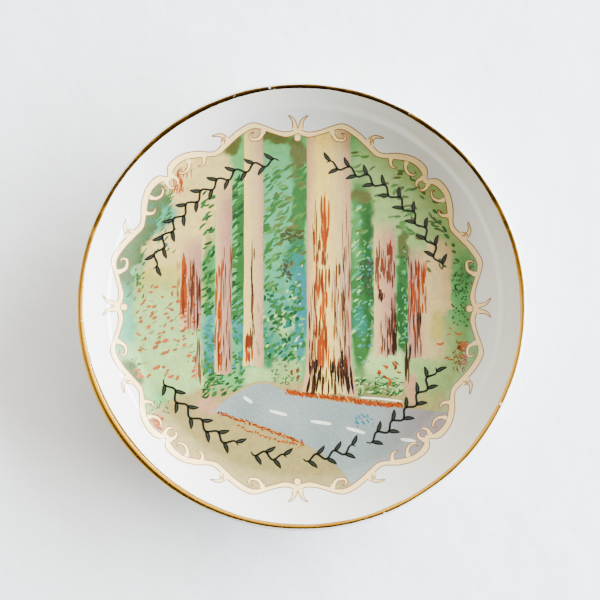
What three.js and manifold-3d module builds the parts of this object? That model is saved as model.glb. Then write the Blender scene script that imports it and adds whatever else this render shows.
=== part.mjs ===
// Souvenir plate: a small shallow porcelain dish with a gilt lip and a printed woodland picture.
// Millimetres, +Z up. The origin is on the plate's axis, on the table that the foot ring stands on.
import * as THREE from "three";
import { mergeVertices } from "three/addons/utils/BufferGeometryUtils.js";
import Module from "manifold-3d";

// ---- Plate sizes ----
const PLATE_DIAMETER = 102; // over the gilt lip
const PLATE_HEIGHT = 15; // table to the top of the gilt lip
const WALL_RUN = 13; // the face is flat in the well and curves up over this width, lip included
const LIP_ANGLE = 57; // slope of the wall at the lip, in degrees
const WELL_THICKNESS = 2.6; // floor of the dish, glaze to glaze
const WALL_THICKNESS = 2.4; // curving wall where it leaves the well
const LIP_THICKNESS = 1.7; // the wall tapers to this at the lip
const FOOT_INSET = 8; // the foot ring stands this far inside the edge of the well
const FOOT_HEIGHT = 2.2; // table to the underside of the well
const FOOT_WIDTH = 2.4; // bearing face of the foot ring
const FOOT_DRAFT = 0.6; // each side of the foot ring widens by this towards the well

// ---- Coats ----
const GLAZE = 0.14; // fired glaze
const GLAZE_STOP = 0.4; // the glaze is wiped off below this height on the foot ring
const GILT = 0.05; // gilt line
const GILT_INSIDE = 0.9; // the gilt line reaches this far down the face from the lip's nose
const GILT_OUTSIDE = 0.6; // and this far down the outside
const FILM = 0.06; // one layer of printed enamel
const GAP = 0.06; // clearance between two coats, or a coat and what is under it

// ---- Transfer, measured from its own centre ----
const TRANSFER_SHIFT = -0.75; // the transfer sits this far along X from the plate's axis
const TRANSFER_MARGIN = 7.5; // from the border's furthest crest, at its middle, to the plate's edge
const BORDER_WIDTH = 1.3; // cream band
const BORDER_SWING = 2.5; // how far the band swings in between its crests
const HORN_LENGTH = 2.6; // pointed scrolls outside the band
const BEAD_RADIUS = 1.0;
const PICTURE_MARGIN = 1.0; // the trunks and the road stay this far inside the flat of the well
const GARLAND_WIDTH = 5.2; // radial width of the garlands
const GARLAND_MARGIN = 0.05; // the garlands stay this far inside the flat of the well
const STEM_WIDTH = 0.5;
const STEM_SWING = 0.9; // the garland's stem waves this far to either side of its arc
const LEAF_PITCH = 3.6; // distance between leaves along the arc
const LEAF_HALF_WIDTH = 0.75;
const LEAF_LEAN = 35; // degrees between a leaf and the radius through it

// ---- Fineness ----
const TURN_STEPS = 60; // steps round the plate
const BORDER_STEPS = 160; // steps round the transfer's edge
const WALL_STEPS = 6; // steps up the wall
const NOSE_STEPS = 4; // steps round the lip
const HORN_STEPS = 4; // steps along each side of a horn
const RING_PITCH = 1.5; // greatest width of the picture's rings where the face curves

// ---- Sizes that follow ----
const plateRadius = PLATE_DIAMETER / 2;
const wellRadius = plateRadius - WALL_RUN;
const faceHeight = FOOT_HEIGHT + WELL_THICKNESS;
const footOuter = wellRadius - FOOT_INSET;
const footInner = footOuter - FOOT_WIDTH;
const borderReach = plateRadius - TRANSFER_MARGIN;
const flatRadius = wellRadius - Math.abs(TRANSFER_SHIFT); // flat of the well, from the transfer's centre
const pictureRadius = flatRadius - PICTURE_MARGIN;
const arcRadius = flatRadius - GARLAND_MARGIN - GARLAND_WIDTH / 2;

const wasm = await Module();
wasm.setup();

// ---- Solids ----

function toSolid(geometry) {
  const bare = geometry.clone();
  bare.deleteAttribute("normal");
  bare.deleteAttribute("uv");
  const merged = mergeVertices(bare, 1e-4);
  return new wasm.Manifold(
    new wasm.Mesh({
      numProp: 3,
      vertProperties: merged.attributes.position.array,
      triVerts: new Uint32Array(merged.index.array),
    }),
  );
}

function toGeometry(solid) {
  const mesh = solid.getMesh();
  const geometry = new THREE.BufferGeometry();
  geometry.setAttribute("position", new THREE.BufferAttribute(new Float32Array(mesh.vertProperties), 3));
  geometry.setIndex(new THREE.BufferAttribute(new Uint32Array(mesh.triVerts), 1));
  geometry.computeVertexNormals();
  return geometry;
}

function union(geometries) {
  return toGeometry(geometries.map(toSolid).reduce((all, one) => all.add(one)));
}

// Turns a profile of (radius, height) points about +Z. The material lies to the right of the profile.
function turned(profile, steps = TURN_STEPS) {
  return new THREE.LatheGeometry([...profile].reverse(), steps).rotateX(Math.PI / 2);
}

// A ring turned from a profile that closes on itself.
function turnedRing(profile, steps = TURN_STEPS) {
  return turned([...profile, profile[0]], steps);
}

// ---- The glazed ware's section ----

const point = (r, z) => new THREE.Vector2(r, z);

// The lip's nose is a half circle. Its middle stays clear of the plate's edge by the gilt on top of it,
// and the wall's face reaches it along the lip's own slope.
const noseMiddle = point(plateRadius, PLATE_HEIGHT).subScalar(LIP_THICKNESS / 2 + GAP + GILT);
const lipSlope = THREE.MathUtils.degToRad(LIP_ANGLE);
const lipNormal = point(-Math.sin(lipSlope), Math.cos(lipSlope));
const crown = noseMiddle.clone().addScaledVector(lipNormal, LIP_THICKNESS / 2);

// The wall's face is a parabola's arc, level where it leaves the well: a Bezier curve whose middle
// point is where the lip's slope meets the well's level.
const wallCurve = new THREE.QuadraticBezierCurve(
  point(wellRadius, faceHeight),
  point(crown.x - (crown.y - faceHeight) / Math.tan(lipSlope), faceHeight),
  crown,
);

// A point of the wall at a share of its way up, on the face or, a tapering thickness below, outside.
function wallPoint(share, side) {
  const thickness = side === "face" ? 0 : THREE.MathUtils.lerp(WALL_THICKNESS, LIP_THICKNESS, share);
  const along = wallCurve.getTangent(share);
  return wallCurve.getPoint(share).addScaledVector(point(along.y, -along.x), thickness);
}

const wallShares = Array.from({ length: WALL_STEPS + 1 }, (_, i) => i / WALL_STEPS);
const wallFace = wallShares.map((share) => wallPoint(share, "face"));

// Height of the faceted face at a place inside the lip. Each facet of the turned face is flat, so the
// radius is the one at which the facet's own slope line, carried to its edges, meets the section.
function faceAt(x, y) {
  const half = Math.PI / TURN_STEPS;
  const turn = THREE.MathUtils.euclideanModulo(Math.atan2(x, y), 2 * half) - half;
  const radius = (Math.hypot(x, y) * Math.cos(turn)) / Math.cos(half);
  const k = Math.min(wallFace.findLastIndex((p) => p.x <= radius), WALL_STEPS - 1);
  if (k < 0) return faceHeight;
  const [low, high] = [wallFace[k], wallFace[k + 1]];
  return THREE.MathUtils.lerp(low.y, high.y, (radius - low.x) / (high.x - low.x));
}

// Half-round nose between the end of the face and the end of the outside.
function nosePoints() {
  const arm = lipNormal.clone().multiplyScalar(LIP_THICKNESS / 2);
  const turns = Array.from({ length: NOSE_STEPS - 1 }, (_, i) => (-Math.PI * (i + 1)) / NOSE_STEPS);
  return turns.map((turn) => arm.clone().rotateAround(point(0, 0), turn).add(noseMiddle));
}

// A point on one side of the foot ring, which leans out by FOOT_DRAFT towards the well.
function footSide(radiusAtTable, outwards, height) {
  return point(radiusAtTable + (outwards * FOOT_DRAFT * height) / FOOT_HEIGHT, height);
}

// Face, lip and outside, from the axis to where the glaze stops on the foot ring.
function wareProfile() {
  const outside = wallShares.map((share) => wallPoint(share, "outside")).reverse();
  const foot = [footSide(footOuter, 1, FOOT_HEIGHT), footSide(footOuter, 1, GLAZE_STOP)];
  return [point(0, faceHeight), ...wallFace, ...nosePoints(), ...outside, ...foot];
}

// Inside of the foot ring and the recess under the well, from the glaze's stop to the axis.
function recessProfile() {
  return [footSide(footInner, -1, GLAZE_STOP), footSide(footInner, -1, FOOT_HEIGHT), point(0, FOOT_HEIGHT)];
}

function rightOf(from, to) {
  const way = to.clone().sub(from).normalize();
  return point(way.y, -way.x);
}

// Moves each point of a profile into the material, along the mitre of its two sides.
// A point on the axis stays on the axis.
function inset(profile, distance) {
  const sides = profile.slice(1).map((p, i) => rightOf(profile[i], p));
  return profile.map((p, i) => {
    const mitre = (sides[i - 1] ?? sides[i]).clone().add(sides[i] ?? sides[i - 1]);
    const moved = p.clone().addScaledVector(mitre, (2 * distance) / mitre.lengthSq());
    return p.x === 0 ? moved.setX(0) : moved;
  });
}

// ---- Ware ----

// The fired clay: everything under the glaze, with a bare bearing face at the table.
function porcelainBody() {
  const under = GLAZE + GAP;
  const ware = inset(wareProfile(), under);
  const recess = inset(recessProfile(), under);
  const bearing = [point(ware.at(-1).x, 0), point(recess[0].x, 0)];
  return turned([...ware, ...bearing, ...recess]);
}

function glazeCoat() {
  return turned([...wareProfile(), ...inset(wareProfile(), GLAZE).reverse()]);
}

function footRecessGlaze() {
  return turned([...inset(recessProfile(), GLAZE).reverse(), ...recessProfile()]);
}

// The gilt line lies over the lip's nose and a little way down each side.
function giltRim() {
  const face = wallPoint(1, "face");
  const outside = wallPoint(1, "outside");
  const downFace = wallPoint(1 - 1 / WALL_STEPS, "face").sub(face).setLength(GILT_INSIDE);
  const downOutside = wallPoint(1 - 1 / WALL_STEPS, "outside").sub(outside).setLength(GILT_OUTSIDE);
  const line = [face.clone().add(downFace), face, ...nosePoints(), outside, outside.clone().add(downOutside)];
  return turnedRing([...inset(line, -GAP - GILT), ...inset(line, -GAP).reverse()]);
}

// ---- Transfer ----

// Height at which the underside of a printed layer starts, above the face.
const layerLift = (layer) => GAP + layer * (FILM + GAP);

// Lays a flat film, made about the transfer's centre with its underside at height 0, on the face.
function drape(geometry, layer) {
  const position = geometry.attributes.position;
  for (let i = 0; i < position.count; i++) {
    const x = position.getX(i) + TRANSFER_SHIFT;
    const y = position.getY(i);
    position.setXYZ(i, x, y, position.getZ(i) + faceAt(x, y) + layerLift(layer));
  }
  return geometry;
}

function filmOf(shape, curveSegments = 6) {
  return new THREE.ExtrudeGeometry(shape, { depth: FILM, bevelEnabled: false, curveSegments });
}

// Middle of the border band at an angle: two crests in each eighth of a turn, mirrored about the
// four cardinal directions and the four diagonals.
const BAND_TURNS = [0, 5, 14, 26.5, 39, 45]; // degrees from the nearest cardinal direction
const BAND_SWINGS = [0.85, 1, 0, 1, 0, 0.6]; // share of BORDER_SWING inwards from the crests

function bandRadius(angle) {
  const eighth = Math.PI / 4;
  const folded = Math.abs(THREE.MathUtils.euclideanModulo(angle + eighth, 2 * eighth) - eighth);
  const turn = THREE.MathUtils.radToDeg(folded);
  const k = Math.min(BAND_TURNS.findLastIndex((t) => t <= turn), BAND_TURNS.length - 2);
  const share = (turn - BAND_TURNS[k]) / (BAND_TURNS[k + 1] - BAND_TURNS[k]);
  const eased = (1 - Math.cos(Math.PI * share)) / 2;
  return borderReach - BORDER_SWING * THREE.MathUtils.lerp(BAND_SWINGS[k], BAND_SWINGS[k + 1], eased);
}

// Stretches a turned disc of radius 2 so that radius 1 lands on one outline and radius 2 on the other.
function between(geometry, innerRadius, outerRadius) {
  const position = geometry.attributes.position;
  for (let i = 0; i < position.count; i++) {
    const share = Math.hypot(position.getX(i), position.getY(i));
    const angle = Math.atan2(position.getY(i), position.getX(i));
    const inner = innerRadius(angle);
    const radius = share <= 1 ? share * inner : THREE.MathUtils.lerp(inner, outerRadius(angle), share - 1);
    position.setXY(i, radius * Math.cos(angle), radius * Math.sin(angle));
  }
  return geometry;
}

// The tinted ground: a disc inside the border band, with rings where the face curves.
function pictureGround() {
  const count = Math.ceil((borderReach - flatRadius) / RING_PITCH);
  const rings = [0, ...Array.from({ length: count + 1 }, (_, i) => 1 + i / count)];
  const top = rings.map((t) => point(t, FILM));
  const bottom = rings.map((t) => point(t, 0)).reverse();
  const edge = (angle) => bandRadius(angle) - BORDER_WIDTH / 2 - GAP;
  return drape(between(turned([...top, ...bottom], BORDER_STEPS), () => flatRadius, edge), 0);
}

// A pointed scroll that grows out of the band's outer edge and bends away counterclockwise or, with
// side -1, clockwise. Its points run counterclockwise.
function hornPoints(angle, side) {
  const root = BORDER_WIDTH * 0.45;
  const out = new THREE.QuadraticBezierCurve(
    point(-root, 0),
    point(-root, HORN_LENGTH * 0.7),
    point(HORN_LENGTH * 0.8, HORN_LENGTH),
  );
  const back = new THREE.QuadraticBezierCurve(out.v2, point(root, HORN_LENGTH * 0.6), point(root, 0));
  const points = [...out.getPoints(HORN_STEPS), ...back.getPoints(HORN_STEPS).slice(1)];
  const sided = side > 0 ? points : points.map((p) => point(-p.x, p.y)).reverse();
  const base = bandRadius(angle) + BORDER_WIDTH / 2;
  return sided.map((p) => point(base + p.y, p.x).rotateAround(point(0, 0), angle));
}

const NECK_TURN = 2.2; // degrees from each cardinal direction to the horns that meet there
const BRANCH_TURN = 24; // and to the horns that branch off between the crests

// The band's outer edge, with horns let into it, as points counterclockwise.
function outerEdge() {
  const stretches = [];
  for (const cardinal of [0, 90, 180, 270]) {
    for (const side of [1, -1]) {
      for (const turn of [NECK_TURN, BRANCH_TURN]) {
        const angle = THREE.MathUtils.degToRad(cardinal + side * turn);
        stretches.push({ angle, points: hornPoints(angle, side) });
      }
    }
  }
  const rootTurn = (BORDER_WIDTH * 0.7) / borderReach;
  const horns = stretches.map(({ angle }) => angle);
  for (let i = 0; i < BORDER_STEPS; i++) {
    const angle = (i / BORDER_STEPS - 1 / 8) * 2 * Math.PI;
    const radius = bandRadius(angle) + BORDER_WIDTH / 2;
    if (horns.some((h) => Math.abs(h - angle) < rootTurn)) continue;
    stretches.push({ angle, points: [point(radius * Math.cos(angle), radius * Math.sin(angle))] });
  }
  return stretches.sort((a, b) => a.angle - b.angle).flatMap(({ points }) => points);
}

function scrollBorder() {
  const inner = Array.from({ length: BORDER_STEPS }, (_, i) => {
    const angle = (i / BORDER_STEPS) * 2 * Math.PI;
    const radius = bandRadius(angle) - BORDER_WIDTH / 2;
    return point(radius * Math.cos(angle), radius * Math.sin(angle));
  });
  const outline = new THREE.Shape(outerEdge());
  outline.holes.push(new THREE.Path(inner.reverse()));
  return drape(filmOf(outline), 0);
}

// A round bead just inside the band at one of the four cardinal directions.
function bead(cardinal) {
  const disc = turned([point(0, FILM), point(BEAD_RADIUS, FILM), point(BEAD_RADIUS, 0), point(0, 0)], 20);
  const reach = bandRadius(0) - BORDER_WIDTH / 2 - GAP - BEAD_RADIUS;
  return drape(disc.translate(reach, 0, 0).rotateZ(THREE.MathUtils.degToRad(cardinal)), 1);
}

// ---- The picture, laid out in shares of its radius ----

const TRUNKS = [
  { name: "trunk_far_left", middle: -0.7, half: 0.065, foot: -0.28, head: 0.36 },
  { name: "trunk_left", middle: -0.48, half: 0.045, foot: -0.4, head: 0.7 },
  { name: "trunk_mid_left", middle: -0.28, half: 0.05, foot: -0.4, head: 0.92 },
  { name: "trunk_great", middle: 0.19, half: 0.115, foot: -0.47, head: 0.96, flare: 0.08 },
  { name: "trunk_mid_right", middle: 0.55, half: 0.06, foot: -0.3, head: 0.55 },
  { name: "trunk_right", middle: 0.77, half: 0.065, foot: -0.3, head: 0.46 },
];

// A tall trunk that flares at its foot.
function trunk({ middle, half, foot, head, flare = 0.015 }) {
  const [centre, wide, low, high] = [middle, half + flare, foot, head].map((s) => s * pictureRadius);
  const slim = half * pictureRadius;
  const outline = new THREE.Shape();
  outline.moveTo(centre - wide, low);
  outline.quadraticCurveTo(centre - slim, low + 2 * wide, centre - slim, high);
  outline.lineTo(centre + slim, high);
  outline.quadraticCurveTo(centre + slim, low + 2 * wide, centre + wide, low);
  return drape(filmOf(outline), 1);
}

// The road comes in at the lower right and narrows away to the left, below the great trunk.
const ROAD = {
  far: point(-0.68, -0.54), // where it ends on the left
  farBend: point(-0.34, -0.46),
  verge: point(0, -0.51), // its far edge below the great trunk
  nearBend: point(-0.06, -0.76),
  fromAngle: -29, // it meets the picture's edge between these two angles
  toAngle: -54,
};

function road() {
  const [far, farBend, verge, nearBend] = [ROAD.far, ROAD.farBend, ROAD.verge, ROAD.nearBend].map((p) =>
    p.clone().multiplyScalar(pictureRadius),
  );
  const [from, to] = [ROAD.fromAngle, ROAD.toAngle].map(THREE.MathUtils.degToRad);
  const outline = new THREE.Shape();
  outline.moveTo(far.x, far.y);
  outline.quadraticCurveTo(farBend.x, farBend.y, verge.x, verge.y);
  outline.lineTo(pictureRadius * Math.cos(from), pictureRadius * Math.sin(from));
  outline.absarc(0, 0, pictureRadius, from, to, true);
  outline.quadraticCurveTo(nearBend.x, nearBend.y, far.x, far.y);
  return drape(filmOf(outline), 1);
}

// ---- Garlands ----

// Six groups of a leafy garland on two arcs, as their first and last angle in degrees.
const GARLANDS = {
  garland_upper_left: [97, 165],
  garland_upper_right: [15, 79],
  garland_lower_far_left: [208, 247],
  garland_lower_left: [252, 266],
  garland_lower_middle: [272, 293],
  garland_lower_right: [297, 337],
};

// A wavy stem along the arc, half a wave to each leaf.
function stem(from, to, leaves) {
  const steps = leaves * 4;
  const edge = (offset) =>
    Array.from({ length: steps + 1 }, (_, i) => {
      const angle = THREE.MathUtils.lerp(from, to, i / steps);
      const radius = arcRadius + offset + STEM_SWING * Math.sin((Math.PI * leaves * i) / steps);
      return point(radius * Math.cos(angle), radius * Math.sin(angle));
    });
  return filmOf(new THREE.Shape([...edge(STEM_WIDTH / 2), ...edge(-STEM_WIDTH / 2).reverse()]));
}

// A pointed leaf that starts in the stem at the top of a wave and reaches the garland's edge.
function leaf(angle, outwards) {
  const lean = THREE.MathUtils.degToRad(LEAF_LEAN);
  const root = STEM_SWING - STEM_WIDTH / 2;
  const length = (GARLAND_WIDTH / 2 - root) / Math.cos(lean);
  const outline = new THREE.Shape();
  outline.moveTo(0, 0);
  outline.quadraticCurveTo(length / 2, 2 * LEAF_HALF_WIDTH, length, 0);
  outline.quadraticCurveTo(length / 2, -2 * LEAF_HALF_WIDTH, 0, 0);
  const film = filmOf(outline, 3).rotateZ(outwards > 0 ? lean : Math.PI - lean);
  return film.translate(arcRadius + outwards * root, 0, 0).rotateZ(angle);
}

function garland([first, last]) {
  const from = THREE.MathUtils.degToRad(first);
  const to = THREE.MathUtils.degToRad(last);
  const leaves = Math.max(2, Math.round(((to - from) * arcRadius) / LEAF_PITCH));
  const pieces = [stem(from, to, leaves)];
  for (let i = 0; i < leaves; i++) {
    pieces.push(leaf(THREE.MathUtils.lerp(from, to, (i + 0.5) / leaves), i % 2 ? -1 : 1));
  }
  return drape(union(pieces), 2);
}

// ---- Materials ----

const ceramic = (color, roughness) => new THREE.MeshStandardMaterial({ color, roughness, metalness: 0 });
const biscuit = () => ceramic(0xece7da, 0.6);
const glaze = () => ceramic(0xf4f2ec, 0.1);
const enamel = (color) => ceramic(color, 0.2);
const gold = () => new THREE.MeshStandardMaterial({ color: 0xc9a24a, roughness: 0.25, metalness: 1 });

// ---- Assembly ----

const ware = new THREE.Group();
const transfer = new THREE.Group();
const plate = new THREE.Group().add(ware, transfer);

function add(group, name, geometry, material) {
  const mesh = new THREE.Mesh(geometry, material);
  mesh.name = name;
  group.add(mesh);
}

add(ware, "porcelain_body", porcelainBody(), biscuit());
add(ware, "glaze_coat", glazeCoat(), glaze());
add(ware, "glaze_foot_recess", footRecessGlaze(), glaze());
add(ware, "gilt_rim", giltRim(), gold());

add(transfer, "picture_ground", pictureGround(), enamel(0xaed3a4));
add(transfer, "scroll_border", scrollBorder(), enamel(0xebd7af));
for (const [name, cardinal] of Object.entries({ right: 0, top: 90, left: 180, bottom: 270 })) {
  add(transfer, "bead_" + name, bead(cardinal), enamel(0xebd7af));
}
add(transfer, "road", road(), enamel(0xb9c0c0));
for (const tree of TRUNKS) {
  add(transfer, tree.name, trunk(tree), enamel(0xb98a6a));
}
for (const [name, span] of Object.entries(GARLANDS)) {
  add(transfer, name, garland(span), enamel(0x24281e));
}

export default plate;
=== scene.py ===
import math

import bpy
import numpy as np
from bpy.props import FloatProperty, FloatVectorProperty, IntProperty, PointerProperty
from mathutils import Matrix, Vector


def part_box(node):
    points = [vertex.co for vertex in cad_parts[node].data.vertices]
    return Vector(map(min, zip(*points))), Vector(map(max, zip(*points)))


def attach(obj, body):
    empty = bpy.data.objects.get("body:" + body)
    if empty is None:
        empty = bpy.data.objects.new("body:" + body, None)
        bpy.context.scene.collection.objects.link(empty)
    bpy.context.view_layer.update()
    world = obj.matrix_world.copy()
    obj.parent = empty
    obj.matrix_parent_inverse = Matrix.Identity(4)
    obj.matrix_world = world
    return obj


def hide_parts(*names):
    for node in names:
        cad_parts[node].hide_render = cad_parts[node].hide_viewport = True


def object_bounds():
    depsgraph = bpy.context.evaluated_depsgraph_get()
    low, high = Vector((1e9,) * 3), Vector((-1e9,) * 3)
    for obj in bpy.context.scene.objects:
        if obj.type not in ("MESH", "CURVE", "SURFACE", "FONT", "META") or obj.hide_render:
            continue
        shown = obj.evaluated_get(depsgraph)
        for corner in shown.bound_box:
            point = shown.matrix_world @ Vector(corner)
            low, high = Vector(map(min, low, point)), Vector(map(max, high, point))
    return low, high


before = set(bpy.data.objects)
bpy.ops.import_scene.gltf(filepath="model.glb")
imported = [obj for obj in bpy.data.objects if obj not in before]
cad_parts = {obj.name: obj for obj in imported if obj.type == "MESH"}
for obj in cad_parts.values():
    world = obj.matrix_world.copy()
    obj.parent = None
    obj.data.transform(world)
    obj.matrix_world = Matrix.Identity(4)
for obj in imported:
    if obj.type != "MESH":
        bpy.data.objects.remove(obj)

bl_info = {
    "name": "Souvenir Plate",
    "version": (1, 0, 0),
    "blender": (4, 5, 0),
    "location": "3D View > Sidebar > Plate",
    "description": "Builds a small gilt porcelain dish with a printed woodland picture",
    "category": "Add Mesh",
}

CAD_LOW, CAD_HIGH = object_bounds()
MM = 0.001
BODY = "root"  # the plate's one body


# ---- Sizes and colours ----------------------------------------------------------------------


def length(name, description, millimetres):
    return FloatProperty(
        name=name, description=description, default=millimetres * MM, min=0, unit="LENGTH", precision=5
    )


def ink(text):
    """Linear red, green and blue of a colour written as six hexadecimal digits."""
    share = np.array([int(text[i : i + 2], 16) for i in (0, 2, 4)]) / 255
    return np.where(share <= 0.04045, share / 12.92, ((share + 0.055) / 1.055) ** 2.4)


def colour(name, description, text):
    return FloatVectorProperty(
        name=name, description=description, default=tuple(ink(text)), size=3, min=0, max=1, subtype="COLOR"
    )


class PlateSizes(bpy.types.PropertyGroup):
    radius: length("Radius", "Axis to the outside of the gilt lip", (CAD_HIGH.x - CAD_LOW.x) / 2 / MM)
    height: length("Height", "Table to the top of the gilt lip", CAD_HIGH.z / MM)
    wall_run: length("Wall run", "Width over which the face curves up from the well", 13)
    lip_angle: FloatProperty(
        name="Lip angle", description="Slope at the lip", default=math.radians(57), subtype="ANGLE"
    )
    well_thickness: length("Well thickness", "Floor of the dish, glaze to glaze", 2.6)
    wall_thickness: length("Wall thickness", "Wall where it leaves the well", 2.4)
    lip_thickness: length("Lip thickness", "The wall tapers to this at the lip", 1.7)
    foot_inset: length("Foot inset", "The foot ring stands this far inside the well's edge", 8)
    foot_height: length("Foot height", "Table to the underside of the well", 2.2)
    foot_width: length("Foot width", "Bearing face of the foot ring", 2.4)
    foot_draft: length("Foot draft", "Each side of the foot ring widens by this", 0.6)
    glaze: length("Glaze", "Thickness of the fired glaze", 0.14)
    glaze_stop: length("Glaze stop", "The glaze is wiped off below this height", 0.4)
    steps: IntProperty(name="Steps", description="Steps round the plate", default=288, min=24)


class TransferSizes(bpy.types.PropertyGroup):
    line: length("Outline width", "Brown line along the border's edges", 0.2)
    bead: length("Bead radius", "Round bead inside the border", 0.95)
    stem: length("Stem width", "Stem of the garlands", 0.5)
    leaf: length("Leaf length", "Leaves of the garlands", 2.9)
    garland: length("Garland radius", "Middle of the garlands, from the transfer's centre", 34.6)


class PlateColours(bpy.types.PropertyGroup):
    glaze: colour("Glaze", "Clear glaze over white porcelain", "d6d4cc")
    biscuit: colour("Biscuit", "Bare fired clay of the foot ring", "e4ddcc")
    gold: colour("Gold", "Burnished gilt line", "c8942e")
    cream: colour("Cream", "Scrolled border", "ecc984")
    outline: colour("Outline", "Thin line along the border", "74452a")
    garland: colour("Garland", "Leafy garlands", "131510")
    floor: colour("Floor", "Pale table under the plate", "f3f3f6")


# ---- The dish's section ---------------------------------------------------------------------

# Sizes here and below are in millimetres.
GILT = 0.03  # thickness of the gilt line
FILLET = 0.9  # radius where the foot ring meets the well
FOOT_EDGE = 0.25  # radius at the edges of the foot ring's bearing face
WALL_FOOT = 0.04  # share of the way up the wall where the foot ring's fillet starts
WALL_STEPS, WELL_STEPS, NOSE_STEPS, RECESS_STEPS = 44, 24, 22, 20


class Ware:
    """The dish's section in millimetres, worked out from the sizes in the panel."""

    def __init__(self, sizes):
        self.radius, self.height = sizes.radius / MM, sizes.height / MM
        self.lip, self.thick = sizes.lip_thickness / MM, sizes.wall_thickness / MM
        self.well = self.radius - sizes.wall_run / MM
        self.foot_height = sizes.foot_height / MM
        self.floor = self.foot_height + sizes.well_thickness / MM
        self.foot_outer = self.well - sizes.foot_inset / MM
        self.foot_inner = self.foot_outer - sizes.foot_width / MM
        self.draft, self.stop = sizes.foot_draft / MM, sizes.glaze_stop / MM
        self.glaze = sizes.glaze / MM
        slope = sizes.lip_angle
        self.lip_normal = np.array([-math.sin(slope), math.cos(slope)])
        self.nose = np.array([self.radius, self.height]) - self.lip / 2 - GILT
        self.crown = self.nose + self.lip_normal * self.lip / 2
        self.rise = self.crown[1] - self.floor
        self.bend = self.crown[0] - self.rise / math.tan(slope)

    def wall(self, share):
        """Places on the wall's face and their unit tangents. The face is a quadratic Bezier arc from
        the well's edge to the crown; its middle point is where the lip's slope meets the well's level."""
        s = np.asarray(share, float)
        ends = np.array([self.well, self.floor]), np.array([self.bend, self.floor]), self.crown
        first, second = ends[1] - ends[0], ends[2] - ends[1]
        place = ends[0] + 2 * s[..., None] * first + s[..., None] ** 2 * (second - first)
        along = first + s[..., None] * (second - first)
        return place, along / np.linalg.norm(along, axis=-1, keepdims=True)

    def share(self, radius):
        """Share of the way up the wall at a radius: the root of the arc's radius as a quadratic."""
        a = self.well - 2 * self.bend + self.crown[0]
        b = 2 * (self.bend - self.well)
        beyond = np.maximum(radius - self.well, 0)
        return (np.sqrt(b * b + 4 * a * beyond) - b) / (2 * a)

    def face(self, x, y):
        """Height of the face: level in the well, then rising with the square of the wall's share."""
        return self.floor + self.rise * self.share(np.hypot(x, y)) ** 2

    def normal(self, x, y):
        """Unit normal of the face, leaning towards the axis by the wall's slope."""
        radius = np.maximum(np.hypot(x, y), 1e-6)
        s = self.share(radius)
        slope = self.rise * s / ((self.bend - self.well) + s * (self.crown[0] - 2 * self.bend + self.well))
        out = np.stack([-slope * x / radius, -slope * y / radius, np.ones_like(slope)], -1)
        return out / np.linalg.norm(out, axis=-1, keepdims=True)

    def nose_arc(self, turns):
        """Places on the half-round nose, at turns from the face side (0) to the outside (pi)."""
        angle = math.atan2(self.lip_normal[1], self.lip_normal[0]) - np.asarray(turns)
        return self.nose + self.lip / 2 * np.stack([np.cos(angle), np.sin(angle)], -1)

    def outside(self, share):
        """The wall's outside, a tapering thickness under its face."""
        place, along = self.wall(share)
        across = np.stack([along[..., 1], -along[..., 0]], -1)
        thick = self.thick + (self.lip - self.thick) * np.asarray(share)
        return place + across * thick[..., None]

    def foot_side(self, radius, outwards, height):
        return np.array([radius + outwards * self.draft * height / self.foot_height, height])

    def outer(self):
        """The glazed surface from the axis over the lip to the glaze's stop outside the foot ring."""
        wall = np.linspace(0, 1, WALL_STEPS)
        well = level(0, self.well, self.floor, WELL_STEPS)[:-1]
        root = self.outside(np.array([WALL_FOOT]))[0]
        corner, end = (self.foot_side(self.foot_outer, 1, z) for z in (self.foot_height, self.stop))
        foot = rounded([root, corner, end], FILLET)
        nose = self.nose_arc(np.linspace(0, math.pi, NOSE_STEPS)[1:-1])
        under = self.outside(wall[::-1])[:-2]
        return np.concatenate([well, self.wall(wall)[0], nose, under, foot[1:]])

    def recess(self):
        """The glazed surface inside the foot ring, from the glaze's stop to the axis."""
        end, corner = (self.foot_side(self.foot_inner, -1, z) for z in (self.stop, self.foot_height))
        side = rounded([end, corner, np.array([0, self.foot_height])], FILLET)
        middle = level(side[-2, 0], 0, self.foot_height, RECESS_STEPS)[1:]
        return np.concatenate([side[:-1], middle])


def level(start, end, height, count):
    """Places evenly spread from one radius to another, all at one height."""
    return np.stack([np.linspace(start, end, count), np.full(count, height)], -1)


def rounded(corners, radius, steps=8):
    """A line of corners whose inner corners become quadratic arcs that start and end radius away."""
    line = [corners[0]]
    for before, corner, after in zip(corners, corners[1:], corners[2:]):
        into, out = before - corner, after - corner
        start = corner + into / np.linalg.norm(into) * radius
        end = corner + out / np.linalg.norm(out) * radius
        t = np.linspace(0, 1, steps)[:, None]
        line.extend((1 - t) ** 2 * start + 2 * t * (1 - t) * corner + t**2 * end)
    return np.array([*line, corners[-1]])


def inset(profile, distance):
    """Moves each place of a profile to its right, which is into the ware, along the profile's normal."""
    along = np.gradient(profile, axis=0)
    along /= np.linalg.norm(along, axis=1, keepdims=True)
    moved = profile + distance * np.stack([along[:, 1], -along[:, 0]], -1)
    moved[profile[:, 0] == 0, 0] = 0
    return moved


# ---- Meshes ---------------------------------------------------------------------------------


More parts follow.
